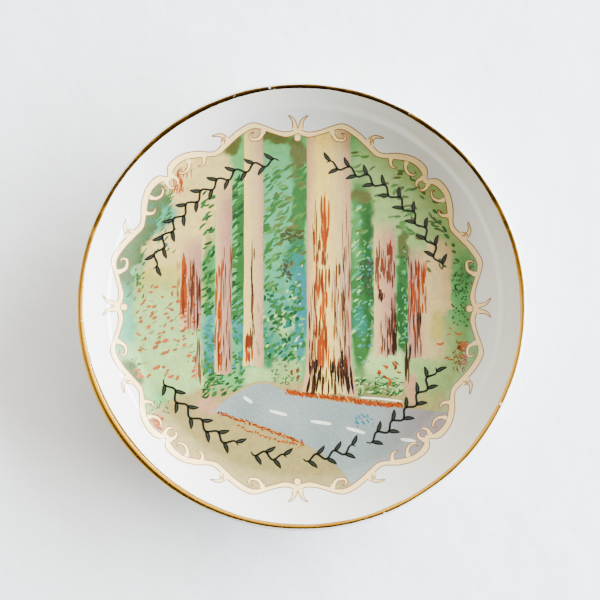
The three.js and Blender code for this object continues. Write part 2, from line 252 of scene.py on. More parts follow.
def tube_faces(stations, around, looped):
    """Corner numbers of one tube's faces: quads from ring to ring, then triangles to the two poles.
    With them come the ring's step that each face stands on."""
    rings = stations if looped else stations - 1
    ring, step = np.meshgrid(np.arange(rings), np.arange(around), indexing="ij")
    after, onward = (step + 1) % around, (ring + 1) % stations
    quads = np.stack(
        [ring * around + step, ring * around + after, onward * around + after, onward * around + step], -1
    ).reshape(-1, 4)
    if looped:
        return quads, np.empty((0, 3), int), step.ravel()
    j = np.arange(around)
    k = (j + 1) % around
    last = (stations - 1) * around
    first_pole = np.full(around, stations * around)
    start = np.stack([k, j, first_pole], -1)
    end = np.stack([last + j, last + k, first_pole + 1], -1)
    return quads, np.concatenate([start, end]), np.concatenate([step.ravel(), j, j])


def tubes(name, rings, poles=None, paint=None, normals=None, under=None):
    """A mesh of closed bodies, each a run of rings. rings is bodies x stations x around x 3, in
    millimetres. poles, bodies x 2 x 3, close the ends; without them the last ring joins the first.
    A body whose signed volume is negative has its faces turned round. under marks the steps of a ring
    whose faces look down, which take the vertex normals reversed."""
    bodies, stations, around, _ = rings.shape
    quads, tris, step = tube_faces(stations, around, poles is None)
    places = rings.reshape(bodies, -1, 3)
    if poles is not None:
        places = np.concatenate([places, poles], 1)
    split = np.concatenate([quads[:, [0, 1, 2]], quads[:, [0, 2, 3]], tris])
    middle = places.mean(1, keepdims=True)
    a, b, c = ((places - middle)[:, split[:, i]] for i in range(3))
    inward = np.einsum("bti,bti->b", a, np.cross(b, c)) < 0
    offset = (np.arange(bodies) * places.shape[1])[:, None, None]
    four = quads + offset
    three = tris + offset
    four[inward] = four[inward][..., ::-1]
    three[inward] = three[inward][..., ::-1]
    corners = np.concatenate([four.ravel(), three.ravel()]).astype(np.int32)
    counts = np.repeat([4, 3], [four.size // 4, three.size // 3])
    starts = np.concatenate([[0], np.cumsum(counts)[:-1]]).astype(np.int32)
    mesh = bpy.data.meshes.new(name)
    mesh.vertices.add(places.shape[0] * places.shape[1])
    mesh.vertices.foreach_set("co", (places * MM).astype(np.float32).ravel())
    mesh.loops.add(len(corners))
    mesh.loops.foreach_set("vertex_index", corners)
    mesh.polygons.add(len(starts))
    mesh.polygons.foreach_set("loop_start", starts)
    mesh.polygons.foreach_set("use_smooth", np.ones(len(starts), bool))
    mesh.update(calc_edges=True)
    if paint is not None:
        layer = mesh.attributes.new("paint", "FLOAT_COLOR", "POINT")
        rgba = np.ones((places.shape[0] * places.shape[1], 4), np.float32)
        rgba[:, :3] = paint.reshape(-1, 3)
        layer.data.foreach_set("color", rgba.ravel())
    if normals is not None:
        sign = np.where(np.isin(step, under), -1.0, 1.0)
        of_quads, of_tris = (np.tile(part, bodies) for part in np.split(sign, [len(quads)]))
        signs = np.concatenate([np.repeat(of_quads, 4), np.repeat(of_tris, 3)])
        mesh.normals_split_custom_set(normals.reshape(-1, 3)[corners] * signs[:, None])
    return placed(name, mesh)


def placed(name, data):
    """A new object of that name for a mesh, a lamp or a camera, at the origin."""
    made = bpy.data.objects.new(name, data)
    bpy.context.collection.objects.link(made)
    return made


def once_round(steps):
    return np.arange(steps) / steps * 2 * math.pi


def spun(radius, height, angle):
    """Places at a radius and a height, at each angle round the axis."""
    return np.stack(np.broadcast_arrays(radius * np.cos(angle), radius * np.sin(angle), height), -1)


def turned(name, profile, steps):
    """A profile that starts and ends on the axis, turned about it."""
    ring = spun(profile[1:-1, :1], profile[1:-1, 1:], once_round(steps))
    poles = np.array([[0, 0, profile[0, 1]], [0, 0, profile[-1, 1]]])
    return tubes(name, ring[None], poles[None])


def finished(made, material, slot, *nodes):
    """Gives a piece its material, hangs it under the plate's body and hides the CAD nodes it stands for."""
    made.data.materials.append(material)
    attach(made, BODY)
    if nodes:
        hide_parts(*nodes)
    return made


# ---- Films of enamel on the face ------------------------------------------------------------

# Heights of the printed layers above the glaze, from the first colour to the last.
LAYERS = {
    "wash": 0.008, "leaf": 0.012, "shape": 0.016, "mark": 0.02, "bark": 0.026, "band": 0.034,
    "line": 0.037, "scroll": 0.04, "scroll_line": 0.043, "garland": 0.047, "vein": 0.051,
}
PILE = 0.003  # the strokes of one layer are spread over this height, so none lies level with another
SINK = 0.006  # each film goes this far into the glaze
END_SINK = 0.035  # a wide film's end dips by this share of its width over 1 mm, so it stays hidden


def transfer_centre():
    low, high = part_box("scroll_border")
    return np.array([(low.x + high.x) / 2, (low.y + high.y) / 2]) / MM


def laid(ware, places, lift):
    """Puts flat places, measured from the transfer's centre, on the face at a lift above it."""
    x, y = (places[..., i] + transfer_centre()[i] for i in range(2))
    return np.stack([x, y, ware.face(x, y) + lift], -1), ware.normal(x, y)


def ribbons(paths, halves, across=2):
    """Rails of ribbons along paths (bodies x stations x 2) with a half width at each station. The first
    and last stations become points."""
    along = np.gradient(paths, axis=1)
    along /= np.maximum(np.linalg.norm(along, axis=-1, keepdims=True), 1e-9)
    left = np.stack([-along[..., 1], along[..., 0]], -1) * np.asarray(halves)[..., None]
    share = np.linspace(1, -1, across)[:, None]
    rails = paths[:, 1:-1, None] + left[:, 1:-1, None] * share
    return rails, paths[:, [0, -1]]


def films(name, ware, groups):
    """One object of many thin closed films. Each group is (rails, tips, lift, paint): rails is bodies x
    stations x across x 2, tips closes the ends or is None for a ribbon that goes all the way round,
    and paint is one colour for each body, or one for each body, station and rail."""
    parts = []
    for rails, tips, lift, paint in groups:
        bodies, stations, across, _ = rails.shape
        rise = np.broadcast_to(np.asarray(lift, float).reshape(-1, 1, 1), rails.shape[:3])
        top, normal = laid(ware, rails, rise)
        bottom, _ = laid(ware, rails, -SINK)
        rings = np.concatenate([top, bottom[:, :, ::-1]], 2)
        normals = np.concatenate([normal, normal[:, :, ::-1]], 2).reshape(bodies, -1, 3)
        shade = np.asarray(paint, float)
        if shade.ndim < 4:
            shade = np.broadcast_to(shade.reshape(-1, 1, 1, 3), rails.shape[:3] + (3,))
        shades = np.concatenate([shade, shade[:, :, ::-1]], 2).reshape(bodies, -1, 3)
        poles = None
        if tips is not None:
            breadth = np.linalg.norm(rails[:, [0, -1], 0] - rails[:, [0, -1], -1], axis=-1)
            poles, pole_normal = laid(ware, tips, rise[:, :1, 0] / 2 - END_SINK * np.maximum(breadth - 1, 0))
            normals = np.concatenate([normals, pole_normal], 1)
            ends = np.stack([shade[:, 0].mean(1), shade[:, -1].mean(1)], 1)
            shades = np.concatenate([shades, ends], 1)
        under = np.arange(across, 2 * across - 1)
        parts.append(tubes(name, rings, poles, shades, normals, under))
    return joined(parts)


def joined(parts):
    """Joins the parts into the first one."""
    if len(parts) > 1:
        with bpy.context.temp_override(active_object=parts[0], selected_editable_objects=parts):
            bpy.ops.object.join()
    return parts[0]


def through(points, count):
    """A Catmull-Rom curve: each stretch is the cubic whose slope at a point is half the step from the
    point before to the point after."""
    p = np.asarray(points, float)
    p = np.concatenate([2 * p[:1] - p[1:2], p, 2 * p[-1:] - p[-2:-1]])
    t = np.linspace(0, len(p) - 3, count)
    k = np.minimum(t.astype(int), len(p) - 4)
    f = (t - k)[:, None]
    a, b, c, d = (p[k + i] for i in range(4))
    return b + f * (c - a) / 2 + f**2 * (a - 2.5 * b + 2 * c - d / 2) + f**3 * (1.5 * (b - c) + (d - a) / 2)


def noise(x, y, pitch, seed):
    """Random heights at the corners of squares a pitch apart, blended by eased shares, from 0 to 1."""
    lattice = np.random.default_rng(seed).random((64, 64))
    u, v = np.asarray(x) / pitch, np.asarray(y) / pitch
    i, j = np.floor(u).astype(int), np.floor(v).astype(int)
    a, b = u - i, v - j
    a, b = a * a * (3 - 2 * a), b * b * (3 - 2 * b)
    i, j = i % 63, j % 63
    low = lattice[i, j] * (1 - a) + lattice[i + 1, j] * a
    high = lattice[i, j + 1] * (1 - a) + lattice[i + 1, j + 1] * a
    return low * (1 - b) + high * b


# ---- Scrolled border ------------------------------------------------------------------------

# The border repeats in eighths of a turn. Its two edges, as (degrees from the nearest of the four
# cardinal directions, distance from the transfer's centre).
OUTER_EDGE = [
    (0, 41.9), (3.2, 41.2), (6.8, 41.7), (10.5, 43.0), (14, 44.0), (18.5, 43.4),
    (23.6, 42.1), (28.2, 41.2), (33, 43.0), (37.6, 44.2), (42.4, 44.2), (45, 42.6),
]
INNER_EDGE = [
    (0, 40.6), (4, 40.1), (8.4, 41.2), (13.6, 42.8), (18.6, 42.1), (23.6, 40.8),
    (27.6, 40.1), (32, 41.2), (37.6, 42.9), (42, 42.8), (45, 41.4),
]
SCROLL_STATIONS = 26
SCROLL_TIP = 0.04  # half width of a scroll at its tip
UNDER_BAND = 0.35  # the picture's ground goes this far under the band
ALONG_BAND, ACROSS_BAND = 720, 7
BEAD_INSET = 0.75  # a bead's centre lies this share of its radius inside the band's inner edge
BEAD_STATIONS = 18
# Scrolls that grow out of the band: middle line from root to tip, and half width at the root. They
# are the horns that meet at the neck, the horns that branch off with a bud at the root, and the curls.
SCROLLS = [
    ([(0.9, 41.4), (1.0, 42.6), (1.5, 43.6), (3.0, 44.6)], 0.6),
    ([(22.6, 41.8), (23.6, 43.0), (24.4, 43.7), (27.0, 44.2)], 0.62),
    ([(24.9, 41.6), (23.8, 42.6), (23.2, 43.0)], 0.4),
    ([(10.6, 42.4), (11.6, 41.3), (13.0, 40.5), (15.4, 40.8), (15.2, 41.9), (13.8, 42.0)], 0.5),
    ([(31.6, 41.6), (32.4, 40.5), (33.6, 39.9), (35.4, 40.2)], 0.5),
    ([(36.4, 42.8), (37.4, 41.4), (39.4, 40.8), (41.2, 41.4), (40.6, 42.2)], 0.42),
    ([(44.0, 42.4), (43.2, 41.0), (43.8, 40.0), (44.8, 40.3)], 0.5),
]


def edge_radius(edge, angle):
    """Radius of one of the band's edges: the curve through its points, folded about the directions."""
    turn = np.abs((np.degrees(angle) + 45) % 90 - 45)
    curve = through(edge, 400)
    return np.interp(turn, curve[:, 0], curve[:, 1])


def polar(angle, radius):
    return np.stack([radius * np.cos(angle), radius * np.sin(angle)], -1)


def eightfold(line):
    """Eight copies of a line of (degrees, radius) places, mirrored about the cardinal directions."""
    turns = [cardinal + side * line[:, 0] for cardinal in (0, 90, 180, 270) for side in (1, -1)]
    return np.stack([polar(np.radians(turn), line[:, 1]) for turn in turns])


def line_along(path, half, lift, shade):
    """A thin ribbon along each path, tapering over its last few stations."""
    count = path.shape[1]
    t = np.arange(count) / (count - 1)
    taper = np.minimum(1, np.minimum(t, 1 - t) * 12) ** 0.5
    rails, tips = ribbons(path, half * np.maximum(taper, 0.25))
    return rails, tips, lift, np.broadcast_to(shade, (len(path), 3))


def closed_line(radius, half, lift, shade):
    """A thin ribbon that goes once round at a radius given for each of its stations."""
    middle = polar(once_round(len(radius)), radius)
    step = np.roll(middle, -1, 0) - np.roll(middle, 1, 0)
    step /= np.linalg.norm(step, axis=1, keepdims=True)
    left = np.stack([-step[:, 1], step[:, 0]], -1) * half
    return np.stack([middle + left, middle - left], 1)[None], None, lift, np.asarray(shade)


def scroll_groups(colours, line):
    """Filled scrolls with a thin line along each side, above the band."""
    groups = []
    for points, half in SCROLLS:
        path = eightfold(through(points, SCROLL_STATIONS))
        t = np.linspace(0, 1, SCROLL_STATIONS)
        rails, tips = ribbons(path, half * (1 - t) ** 0.8 + SCROLL_TIP, 4)
        groups.append((rails, tips, LAYERS["scroll"], np.asarray(colours.cream)))
        for side in (0, -1):
            edge = np.concatenate([rails[:, 2:, side], tips[:, 1:]], 1)
            groups.append(line_along(edge, line / 2, LAYERS["scroll_line"], np.asarray(colours.outline)))
    return groups


# ---- The picture ----------------------------------------------------------------------------

INKS = {
    "mint": "58a763", "pale_mint": "a0c985", "light_green": "8cad6e", "yellow_green": "b0ab54",
    "green": "2c6331", "light_leaf": "4b8041", "deep_green": "164425", "turquoise": "439981",
    "teal": "1c7266", "blue": "287588", "olive": "525a32", "dark_olive": "3d4526", "sage": "465f3e",
    "beige": "ccb684", "sky": "d8c27c", "cream": "e8cc70", "pink": "ba8e78", "mauve": "a07c78",
    "orange": "9a400c", "apricot": "b25c2a", "russet": "9a5632", "rust": "6f2c15",
    "red_brown": "643828", "brown": "422618", "dark_brown": "26160f", "black_brown": "150d0a",
    "road": "7c8e98", "road_mauve": "8a8290", "road_light": "94a8b4", "sand": "9a9060",
    "shoulder": "a29464", "white": "f4fafa", "smudge": "373830", "smear": "3a7698",
}
FIRED = np.array([0.78, 0.7, 0.56])  # what firing leaves of an ink's red, green and blue
SHADE = {name: ink(text) * FIRED for name, text in INKS.items()}

# Soft-edged washes, from the first to the last, measured from the transfer's centre:
# x, y, half width, half height, turn in degrees, ink, strength, softness of the edge.
WASHES = [
    (0, 0, 60, 60, 0, "mint", 1, 0.1),
    (27, 26, 16, 16, 0, "light_green", 0.9, 0.5),
    (26, -14, 14, 16, 0, "light_green", 0.9, 0.5),
    (-27, 22, 8.5, 16, -14, "sky", 1, 0.25),
    (-31, 14, 7, 7, 0, "sky", 1, 0.4),
    (-28.6, 31.6, 3.2, 3.6, 0, "sky", 1, 0.4),
    (-30, 4, 9, 6, 0, "yellow_green", 0.7, 0.6),
    (-32, -8, 10, 12, 0, "pale_mint", 0.8, 0.6),
    (-24, -16, 6, 9, 0, "pale_mint", 0.9, 0.6),
    (-17.6, 30, 2.4, 6.5, 0, "sky", 0.9, 0.5),
    (-31.4, 20.6, 2.4, 4.4, -34, "turquoise", 0.9, 0.6),
    (-36.6, 9.6, 1.8, 3.4, -30, "turquoise", 0.6, 0.8),
    (-32.8, 25.6, 3.2, 3.2, 30, "sage", 1, 0.3),
    (-35.0, 19.6, 2.1, 5.0, -24, "sage", 1, 0.35),
    (-36.8, 15.4, 2.0, 2.8, -40, "sage", 1, 0.35),
    (-38.8, 12.2, 3.4, 3.0, 50, "sage", 1, 0.3),
    (-40.2, 6.4, 2.0, 4.6, 6, "sage", 1, 0.35),
    (-40, -3, 2.5, 8, 0, "turquoise", 0.8, 0.8),
    (-37.6, -15, 1.3, 3.6, 30, "sage", 0.9, 0.5),
    (-32, -24, 4.5, 2.2, 0, "light_green", 0.8, 0.7),
    (-12.4, 9, 1.6, 19, 0, "green", 1, 0.3),
    (-20.6, 8, 1.0, 12, 0, "green", 0.55, 0.6),
    (-20.4, -6, 1.7, 7, 0, "turquoise", 0.9, 0.5),
    (-20.3, -4.5, 0.9, 3, 0, "blue", 0.7, 0.8),
    (-20.0, -9, 0.9, 2.2, 0, "blue", 0.6, 0.8),
    (-20.2, -14, 1.6, 3.2, 0, "green", 0.8, 0.6),
    (-13.6, -4, 1.4, 7, 0, "turquoise", 0.8, 0.6),
    (-13.7, -4.5, 0.9, 2.6, 0, "blue", 0.7, 0.8),
    (-12.7, -12, 0.6, 7, 0, "teal", 0.8, 0.6),
    (-4, 18, 4.6, 19, 0, "turquoise", 0.55, 0.6),
    (0.4, 20, 1.7, 15, 0, "green", 0.9, 0.5),
    (0.4, 36.4, 2.2, 3.6, 30, "olive", 0.9, 0.5),
    (-0.4, 3, 2.8, 12, 0, "teal", 1, 0.6),
    (0.6, -1, 1.5, 12, 0, "blue", 0.8, 0.7),
    (-4.4, 0, 3.6, 9, 0, "turquoise", 0.9, 0.8),
    (-5, -8, 3.4, 7, 0, "green", 0.45, 0.9),
    (-3.4, -3.5, 2.0, 2.6, 20, "pale_mint", 0.8, 0.9),
    (-5.4, -12, 2.4, 5, 0, "turquoise", 0.7, 0.8),
    (-6.2, -11, 1.6, 3, 0, "green", 0.7, 0.8),
    (-15.0, 38.2, 2.0, 3.0, -38, "olive", 1, 0.3),
    (-6.0, 40.2, 4.6, 1.8, -8, "olive", 1, 0.35),
    (14.8, 7, 2.5, 23, 0, "green", 0.95, 0.3),
    (16.6, 6, 1.3, 22, 0, "deep_green", 0.6, 0.6),
    (14.8, 26.2, 2.4, 1.6, 0, "olive", 1, 0.5),
    (14.6, -3, 1.3, 3, 0, "teal", 0.8, 0.8),
    (13.6, 17, 1.0, 8, 0, "mint", 0.5, 0.8),
    (24.4, 3, 1.45, 16, 0, "green", 1, 0.3),
    (24.4, 15, 1.3, 3, 0, "olive", 0.8, 0.6),
    (24.3, -3, 1.2, 10, 0, "deep_green", 0.6, 0.7),
    (32.6, 7, 3.6, 9, 0, "beige", 1, 0.25),
    (31, -6, 3.0, 6, 10, "beige", 0.8, 0.6),
    (32.5, -4, 1.6, 4, 0, "yellow_green", 0.7, 0.8),
    (38, 3, 2.2, 7, 0, "mint", 0.8, 0.5),
    (39.5, 9, 1.6, 4, 0, "green", 0.5, 0.9),
    (5, -31, 26, 14, 0, "sand", 1, 0.12),
    (-22, -29, 12, 10, 24, "sand", 1, 0.2),
    (-20.5, -22.4, 2.4, 1.6, 20, "pink", 0.8, 0.7),
    (-32.6, -26.8, 1.7, 1.9, 0, "orange", 0.6, 0.8),
    (20.5, -13.5, 4.6, 4.2, 0, "pale_mint", 0.95, 0.35),
    (18, -18.5, 5.6, 2.6, 0, "green", 0.55, 0.7),
    (-2.4, -14.4, 3.6, 2.7, 0, "light_green", 0.95, 0.4),
    (26.2, -19, 1.2, 4, 0, "pink", 0.9, 0.4),
    (31, -22, 5, 2.6, 0, "shoulder", 0.6, 0.8),
    (-9, -16, 3.4, 2.2, 0, "pale_mint", 0.8, 0.6),
]


def washed(x, y):
    """Colour of the ground: each wash is laid over the last by a share that falls off at its edge. The
    places are first moved a little by noise, so the edges wander as a brush's do."""
    u = x + 1.3 * (noise(x, y, 2.2, 3) - 0.5) + 0.7 * (noise(x, y, 0.8, 5) - 0.5)
    v = y + 1.3 * (noise(x, y, 2.2, 7) - 0.5) + 0.7 * (noise(x, y, 0.8, 9) - 0.5)
    shade = np.zeros(x.shape + (3,))
    for cx, cy, wide, tall, turn, name, strength, soft in WASHES:
        c, s = math.cos(math.radians(turn)), math.sin(math.radians(turn))
        along, up = (u - cx) * c + (v - cy) * s, (v - cy) * c - (u - cx) * s
        reach = (np.abs(along / wide) ** 3 + np.abs(up / tall) ** 3) ** (1 / 3)
        share = strength * np.clip((1 + soft / 2 - reach) / soft, 0, 1)[..., None]
        share = share * share * (3 - 2 * share)
        shade = shade * (1 - share) + SHADE[name] * share
    tone = 0.9 + 0.2 * noise(x, y, 1.1, 11)
    return np.clip(shade * tone[..., None], 0, 1)


GROUND_STEPS, GROUND_RINGS = 560, 132


def ground(name, ware):
    """The picture's ground inside the border band, as rings from the middle to the band and back
    underneath. Each ring is the band's inner edge scaled by a share, so the last one follows it."""
    angle = once_round(GROUND_STEPS)
    edge = edge_radius(INNER_EDGE, angle) + UNDER_BAND
    top = np.linspace(0, 1, GROUND_RINGS + 1)[1:, None]
    low = np.concatenate([np.linspace(1, 0.86, 24), np.linspace(0.8, 0.1, 5)])[:, None]  # dense on the wall
    shares = np.concatenate([top, low])
    places = polar(angle, edge * shares)
    lift = np.repeat([LAYERS["wash"], -SINK], [len(top), len(low)])[:, None]
    rings, normals = laid(ware, places, lift)
    paint = washed(places[..., 0], places[..., 1])
    poles, pole_normals = laid(ware, np.zeros((2, 2)), np.array([LAYERS["wash"], -SINK]))
    shades = np.concatenate([paint.reshape(-1, 3), washed(np.zeros(2), np.zeros(2))])
    all_normals = np.concatenate([normals.reshape(-1, 3), pole_normals])
    return tubes(name, rings[None], poles[None], shades, all_normals, [])


INK_VARIES = (0.85, 1.12)  # least and most that a stroke's ink is lightened


def shades_of(inks):
    """Colours of the inks named in a string."""
    return np.stack([SHADE[name] for name in inks.split()])


def drawn(rng, inks, count):
    """A random one of the named inks for each stroke."""
    shades = shades_of(inks)
    return shades[rng.integers(0, len(shades), count)]


def dabs(rng, spread, count, inks, size, width, lean, lift, bend=0.12, blunt=0.5, stations=6):
    """Strokes scattered over a box: (left, right, low, high). Each runs from its middle both ways along
    its lean, bows to one side by a share of its length, and swells and tapers along it."""
    left, right, low, high = spread
    middle = np.stack([rng.uniform(left, right, count), rng.uniform(low, high, count)], -1)
    angle = np.radians(rng.normal(lean[0], lean[1], count))
    span = rng.uniform(*size, count)
    way = polar(angle, np.ones(count))
    side = np.stack([-way[:, 1], way[:, 0]], -1)
    t = np.linspace(0, 1, stations)[:, None]
    bow = (rng.normal(0, bend, count) * span)[:, None, None] * np.sin(math.pi * t)
    path = middle[:, None] + way[:, None] * span[:, None, None] * (t - 0.5) + side[:, None] * bow
    halves = rng.uniform(*width, count)[:, None] / 2 * (np.sin(math.pi * t[:, 0]) ** blunt + 0.02)
    rails, tips = ribbons(path, halves)
    kept = inside(tips[:, 0]) & inside(tips[:, 1])
    shades = drawn(rng, inks, count)
    shades = np.clip(shades * rng.uniform(*INK_VARIES, (count, 1)), 0, 1)
    lifts = lift + PILE * np.arange(count) / count
    return rails[kept], tips[kept], lifts[kept], shades[kept]


def inside(places, margin=0.25):
    """Whether places stay inside the band's inner edge."""
    angle = np.arctan2(places[:, 1], places[:, 0])
    return np.hypot(places[:, 0], places[:, 1]) < edge_radius(INNER_EDGE, angle) - margin


# Foliage: box, count, inks, length, width, lean and its spread.
FOLIAGE = [
    ((-22.0, -19.4, -2, 27), 64, "green green deep_green", (1.2, 2.6), (0.4, 0.75), (42, 10)),
    ((-15.2, -12.9, -4, 31), 90, "green deep_green green", (1.8, 3.4), (0.4, 0.75), (40, 8)),
    ((-8.0, -4.0, 4, 33), 74, "green light_leaf green", (1.4, 3.2), (0.4, 0.8), (40, 10)),
    ((-5.0, 1.6, 10, 34), 80, "olive green light_leaf", (1.6, 3.4), (0.4, 0.75), (34, 10)),
    ((-8.0, 1.0, -12, 6), 150, "green teal deep_green green", (0.8, 2.0), (0.4, 0.85), (40, 35)),
    ((-8.0, 1.4, -14, 12), 56, "pale_mint mint", (0.6, 1.6), (0.3, 0.6), (40, 40)),
    ((12.7, 14.6, -6, 24), 42, "mint pale_mint turquoise", (1.0, 2.4), (0.25, 0.5), (38, 12)),
    ((14.0, 17.3, -13, 16), 54, "turquoise mint blue", (0.5, 1.5), (0.25, 0.5), (30, 36)),
    ((23.2, 25.6, -10, 15), 46, "mint deep_green turquoise", (0.6, 1.5), (0.2, 0.4), (50, 30)),
    ((12.5, 27, 17, 38), 58, "olive sage light_leaf", (1.4, 3.0), (0.45, 0.85), (16, 12)),
    ((26, 38, 9, 33), 66, "olive green sage", (1.0, 2.4), (0.4, 0.8), (-36, 20)),
    ((35.8, 41.5, -4, 11), 140, "green deep_green olive", (0.4, 1.0), (0.24, 0.5), (60, 60)),
    ((-36, -28.5, 13, 27), 70, "sage teal green", (1.0, 2.2), (0.25, 0.45), (50, 14)),
    ((-41, -35.5, 2, 14), 46, "sage green", (0.8, 1.6), (0.25, 0.45), (60, 20)),
    ((-21.8, -12.6, -20, -14), 76, "green deep_green mint", (1.0, 2.4), (0.35, 0.6), (38, 16)),
    ((-21.5, -19.2, -15, -4), 46, "green blue teal", (0.6, 1.5), (0.35, 0.7), (45, 45)),
    ((-15.0, -12.6, -14, -2), 46, "green blue teal", (0.6, 1.5), (0.35, 0.7), (60, 40)),
    ((13.6, 24.2, -20, -16), 110, "green deep_green pale_mint", (0.8, 2.0), (0.24, 0.45), (20, 30)),
    ((-6, 0.6, -17.5, -11.5), 60, "green sage light_green", (0.5, 1.3), (0.24, 0.4), (50, 35)),
    ((-36, -29.5, -24.5, -21.6), 36, "green sage", (0.4, 1.0), (0.2, 0.36), (30, 60)),
    ((-38.5, -36, -17.5, -11), 34, "sage dark_olive", (0.4, 1.2), (0.14, 0.26), (-50, 30)),
]
# Warm leaf dabs, twigs and hatching.
WARM = [
    ((-37, -22.5, -16.5, 5), 84, "russet apricot russet", (0.7, 1.9), (0.4, 0.85), (32, 24)),
    ((-36, -24, -13, 2), 34, "red_brown rust", (0.8, 2.0), (0.12, 0.22), (35, 25)),
    ((-30.8, -26.4, 27.4, 34.6), 60, "apricot orange", (1.2, 3.2), (0.22, 0.4), (86, 5)),
    ((-26.6, -24.2, 30.4, 34), 5, "orange", (1.4, 3.4), (0.2, 0.32), (82, 5)),
    ((18.5, 23.6, -17.5, -12), 12, "orange rust", (0.9, 1.7), (0.4, 0.7), (-40, 30)),
    ((-2.2, 0.3, -16.5, -14.2), 6, "rust red_brown", (0.8, 1.4), (0.4, 0.6), (60, 30)),
    ((33.0, 39.5, -13, -4.5), 18, "russet apricot", (0.9, 2.1), (0.35, 0.65), (-15, 20)),
    ((36.0, 39.6, -15, -7.6), 64, "red_brown rust", (0.6, 1.6), (0.14, 0.26), (60, 25)),
    ((-34.2, -31.2, -29, -25), 22, "rust orange", (0.9, 2.0), (0.24, 0.45), (20, 25)),
]
SMUDGES = [
    ((-3.6, 1.2, 15.6, 18.4), 30, "smudge dark_olive", (0.6, 1.8), (0.35, 0.7), (20, 25)),
    ((-4.6, -1.2, 6, 12.5), 26, "smudge dark_olive", (0.5, 1.4), (0.3, 0.6), (-60, 25)),
    ((14.4, 17.6, 3, 11), 90, "smudge smudge deep_green", (0.3, 1.0), (0.2, 0.45), (60, 40)),
]


# ---- Trunks and road ------------------------------------------------------------------------

RAIL_PITCH = 0.34  # between a trunk's rails; wider, its edges would stand off the curving wall
TRUNK_STATIONS = 170
RAGGED, WAVER = 0.5, 0.22  # how far a trunk's foot is ragged, and its sides waver
# Each trunk: the CAD node it stands for, left and right edges, foot and head, flare at the foot,
# length over which its head fades, inks of its wash from left to right, and its bark strokes as
# (left, right, low, high, count, inks, lengths, widths).
TRUNKS = [
    ("trunk_far_left", (-27.2, -22.2), (-5.2, 17.4), 0.0, 5, "beige pink mauve", [
        (-27.0, -25.6, -1.6, 14, 20, "orange orange rust", (3, 9), (0.3, 0.6)),
        (-28.0, -27.0, 2, 11, 6, "orange", (1.5, 3), (0.15, 0.25)),
        (-25.2, -22.6, -4.8, 11, 22, "brown red_brown rust", (3, 9), (0.18, 0.34)),
        (-23.4, -22.3, -4.8, 13, 9, "brown olive dark_brown", (3, 9), (0.15, 0.26)),
    ]),
    ("trunk_left", (-19.0, -15.2), (-15.2, 31), 0.2, 9, "beige pink mauve", [
        (-18.9, -17.4, -14.6, 11, 24, "orange rust orange", (3, 8), (0.26, 0.5)),
        (-17.4, -15.4, -14.8, 15, 15, "brown red_brown", (3, 8), (0.15, 0.28)),
        (-15.8, -15.2, -14.8, 14, 8, "brown rust olive", (4, 9), (0.15, 0.26)),
    ]),
    ("trunk_mid_left", (-12.4, -8.0), (-13.4, 44.0), 0.25, 0, "cream beige pink", [
        (-10.8, -9.8, -10, 17, 15, "brown dark_brown red_brown", (3, 9), (0.18, 0.36)),
        (-11.8, -10.2, -12.4, -6, 12, "orange rust", (1.5, 4), (0.35, 0.6)),
        (-9.4, -8.2, -13, 2, 9, "red_brown mauve", (1, 3.2), (0.15, 0.26)),
    ]),
    ("trunk_great", (2.2, 12.3), (-20.0, 44.0), 1.6, 0, "pink cream cream beige pink", [
        (5.6, 7.3, 13, 26, 16, "orange", (4, 9), (0.3, 0.6)),
        (3.9, 7.2, 10, 19, 20, "orange red_brown", (1.5, 5), (0.2, 0.4)),
        (4.4, 7.4, -14, 9, 30, "orange orange rust", (3, 9), (0.3, 0.6)),
        (3.6, 5.0, -18, 25, 20, "brown red_brown rust", (4, 10), (0.15, 0.3)),
        (2.6, 4.2, -19, 6, 14, "brown red_brown", (3, 8), (0.18, 0.32)),
        (8.0, 12.0, -19, 12, 46, "brown red_brown mauve rust", (3, 9), (0.16, 0.34)),
        (10.4, 12.1, -10, 23, 16, "brown olive red_brown", (4, 10), (0.15, 0.28)),
        (2.8, 12.0, -19.9, -12, 40, "brown dark_brown black_brown", (2, 5.5), (0.25, 0.5)),
        (9.0, 12.2, -19.9, -8, 16, "black_brown dark_brown", (3, 7), (0.25, 0.45)),
    ]),
    ("trunk_mid_right", (17.8, 22.8), (-11.2, 20.6), 0.1, 5, "beige pink mauve", [
        (18.2, 22.0, 6, 16, 44, "red_brown rust red_brown", (1.5, 5), (0.2, 0.4)),
        (21.4, 22.7, -6, 13, 12, "brown red_brown", (3, 8), (0.16, 0.3)),
        (18.6, 20.2, -1, 6, 8, "red_brown rust", (1, 3), (0.16, 0.3)),
        (19.2, 22.8, -11, -1, 30, "brown dark_brown rust", (2, 6), (0.2, 0.4)),
        (21.6, 22.8, -11, 0, 10, "black_brown dark_brown", (3, 7), (0.2, 0.34)),
        (18.8, 19.7, 1.6, 4.8, 9, "dark_brown black_brown", (0.8, 1.8), (0.3, 0.5)),
    ]),
    ("trunk_right", (25.7, 30.0), (-11.4, 15.0), 0.1, 5, "mauve pink beige", [
        (25.9, 29.9, -2, 11, 34, "orange rust orange", (2, 7), (0.25, 0.5)),
        (25.8, 26.6, -8, 14, 10, "brown rust", (3, 8), (0.16, 0.3)),
        (26.8, 28.6, -11, 2, 20, "brown dark_brown rust", (3, 7), (0.18, 0.36)),
        (24.9, 26.3, -17.4, -7.6, 13, "dark_brown brown black_brown", (2.5, 7), (0.2, 0.4)),
    ]),
]
# Thin trunk that stands in front of the far left one's foot.
SAPLING = (-23.4, -21.8, -16.2, -8.2, 13, "brown olive pink rust", (3, 7), (0.2, 0.4))


def flared(places, edges, foot, flare):
    """Widens a trunk about its middle by a flare that dies away with height over its foot."""
    middle, half = sum(edges) / 2, (edges[1] - edges[0]) / 2
    out = places.copy()
    rise = np.maximum(places[..., 1] - foot, 0)
    out[..., 0] = middle + (places[..., 0] - middle) * (1 + flare / half * np.exp(-rise / 4))
    return out


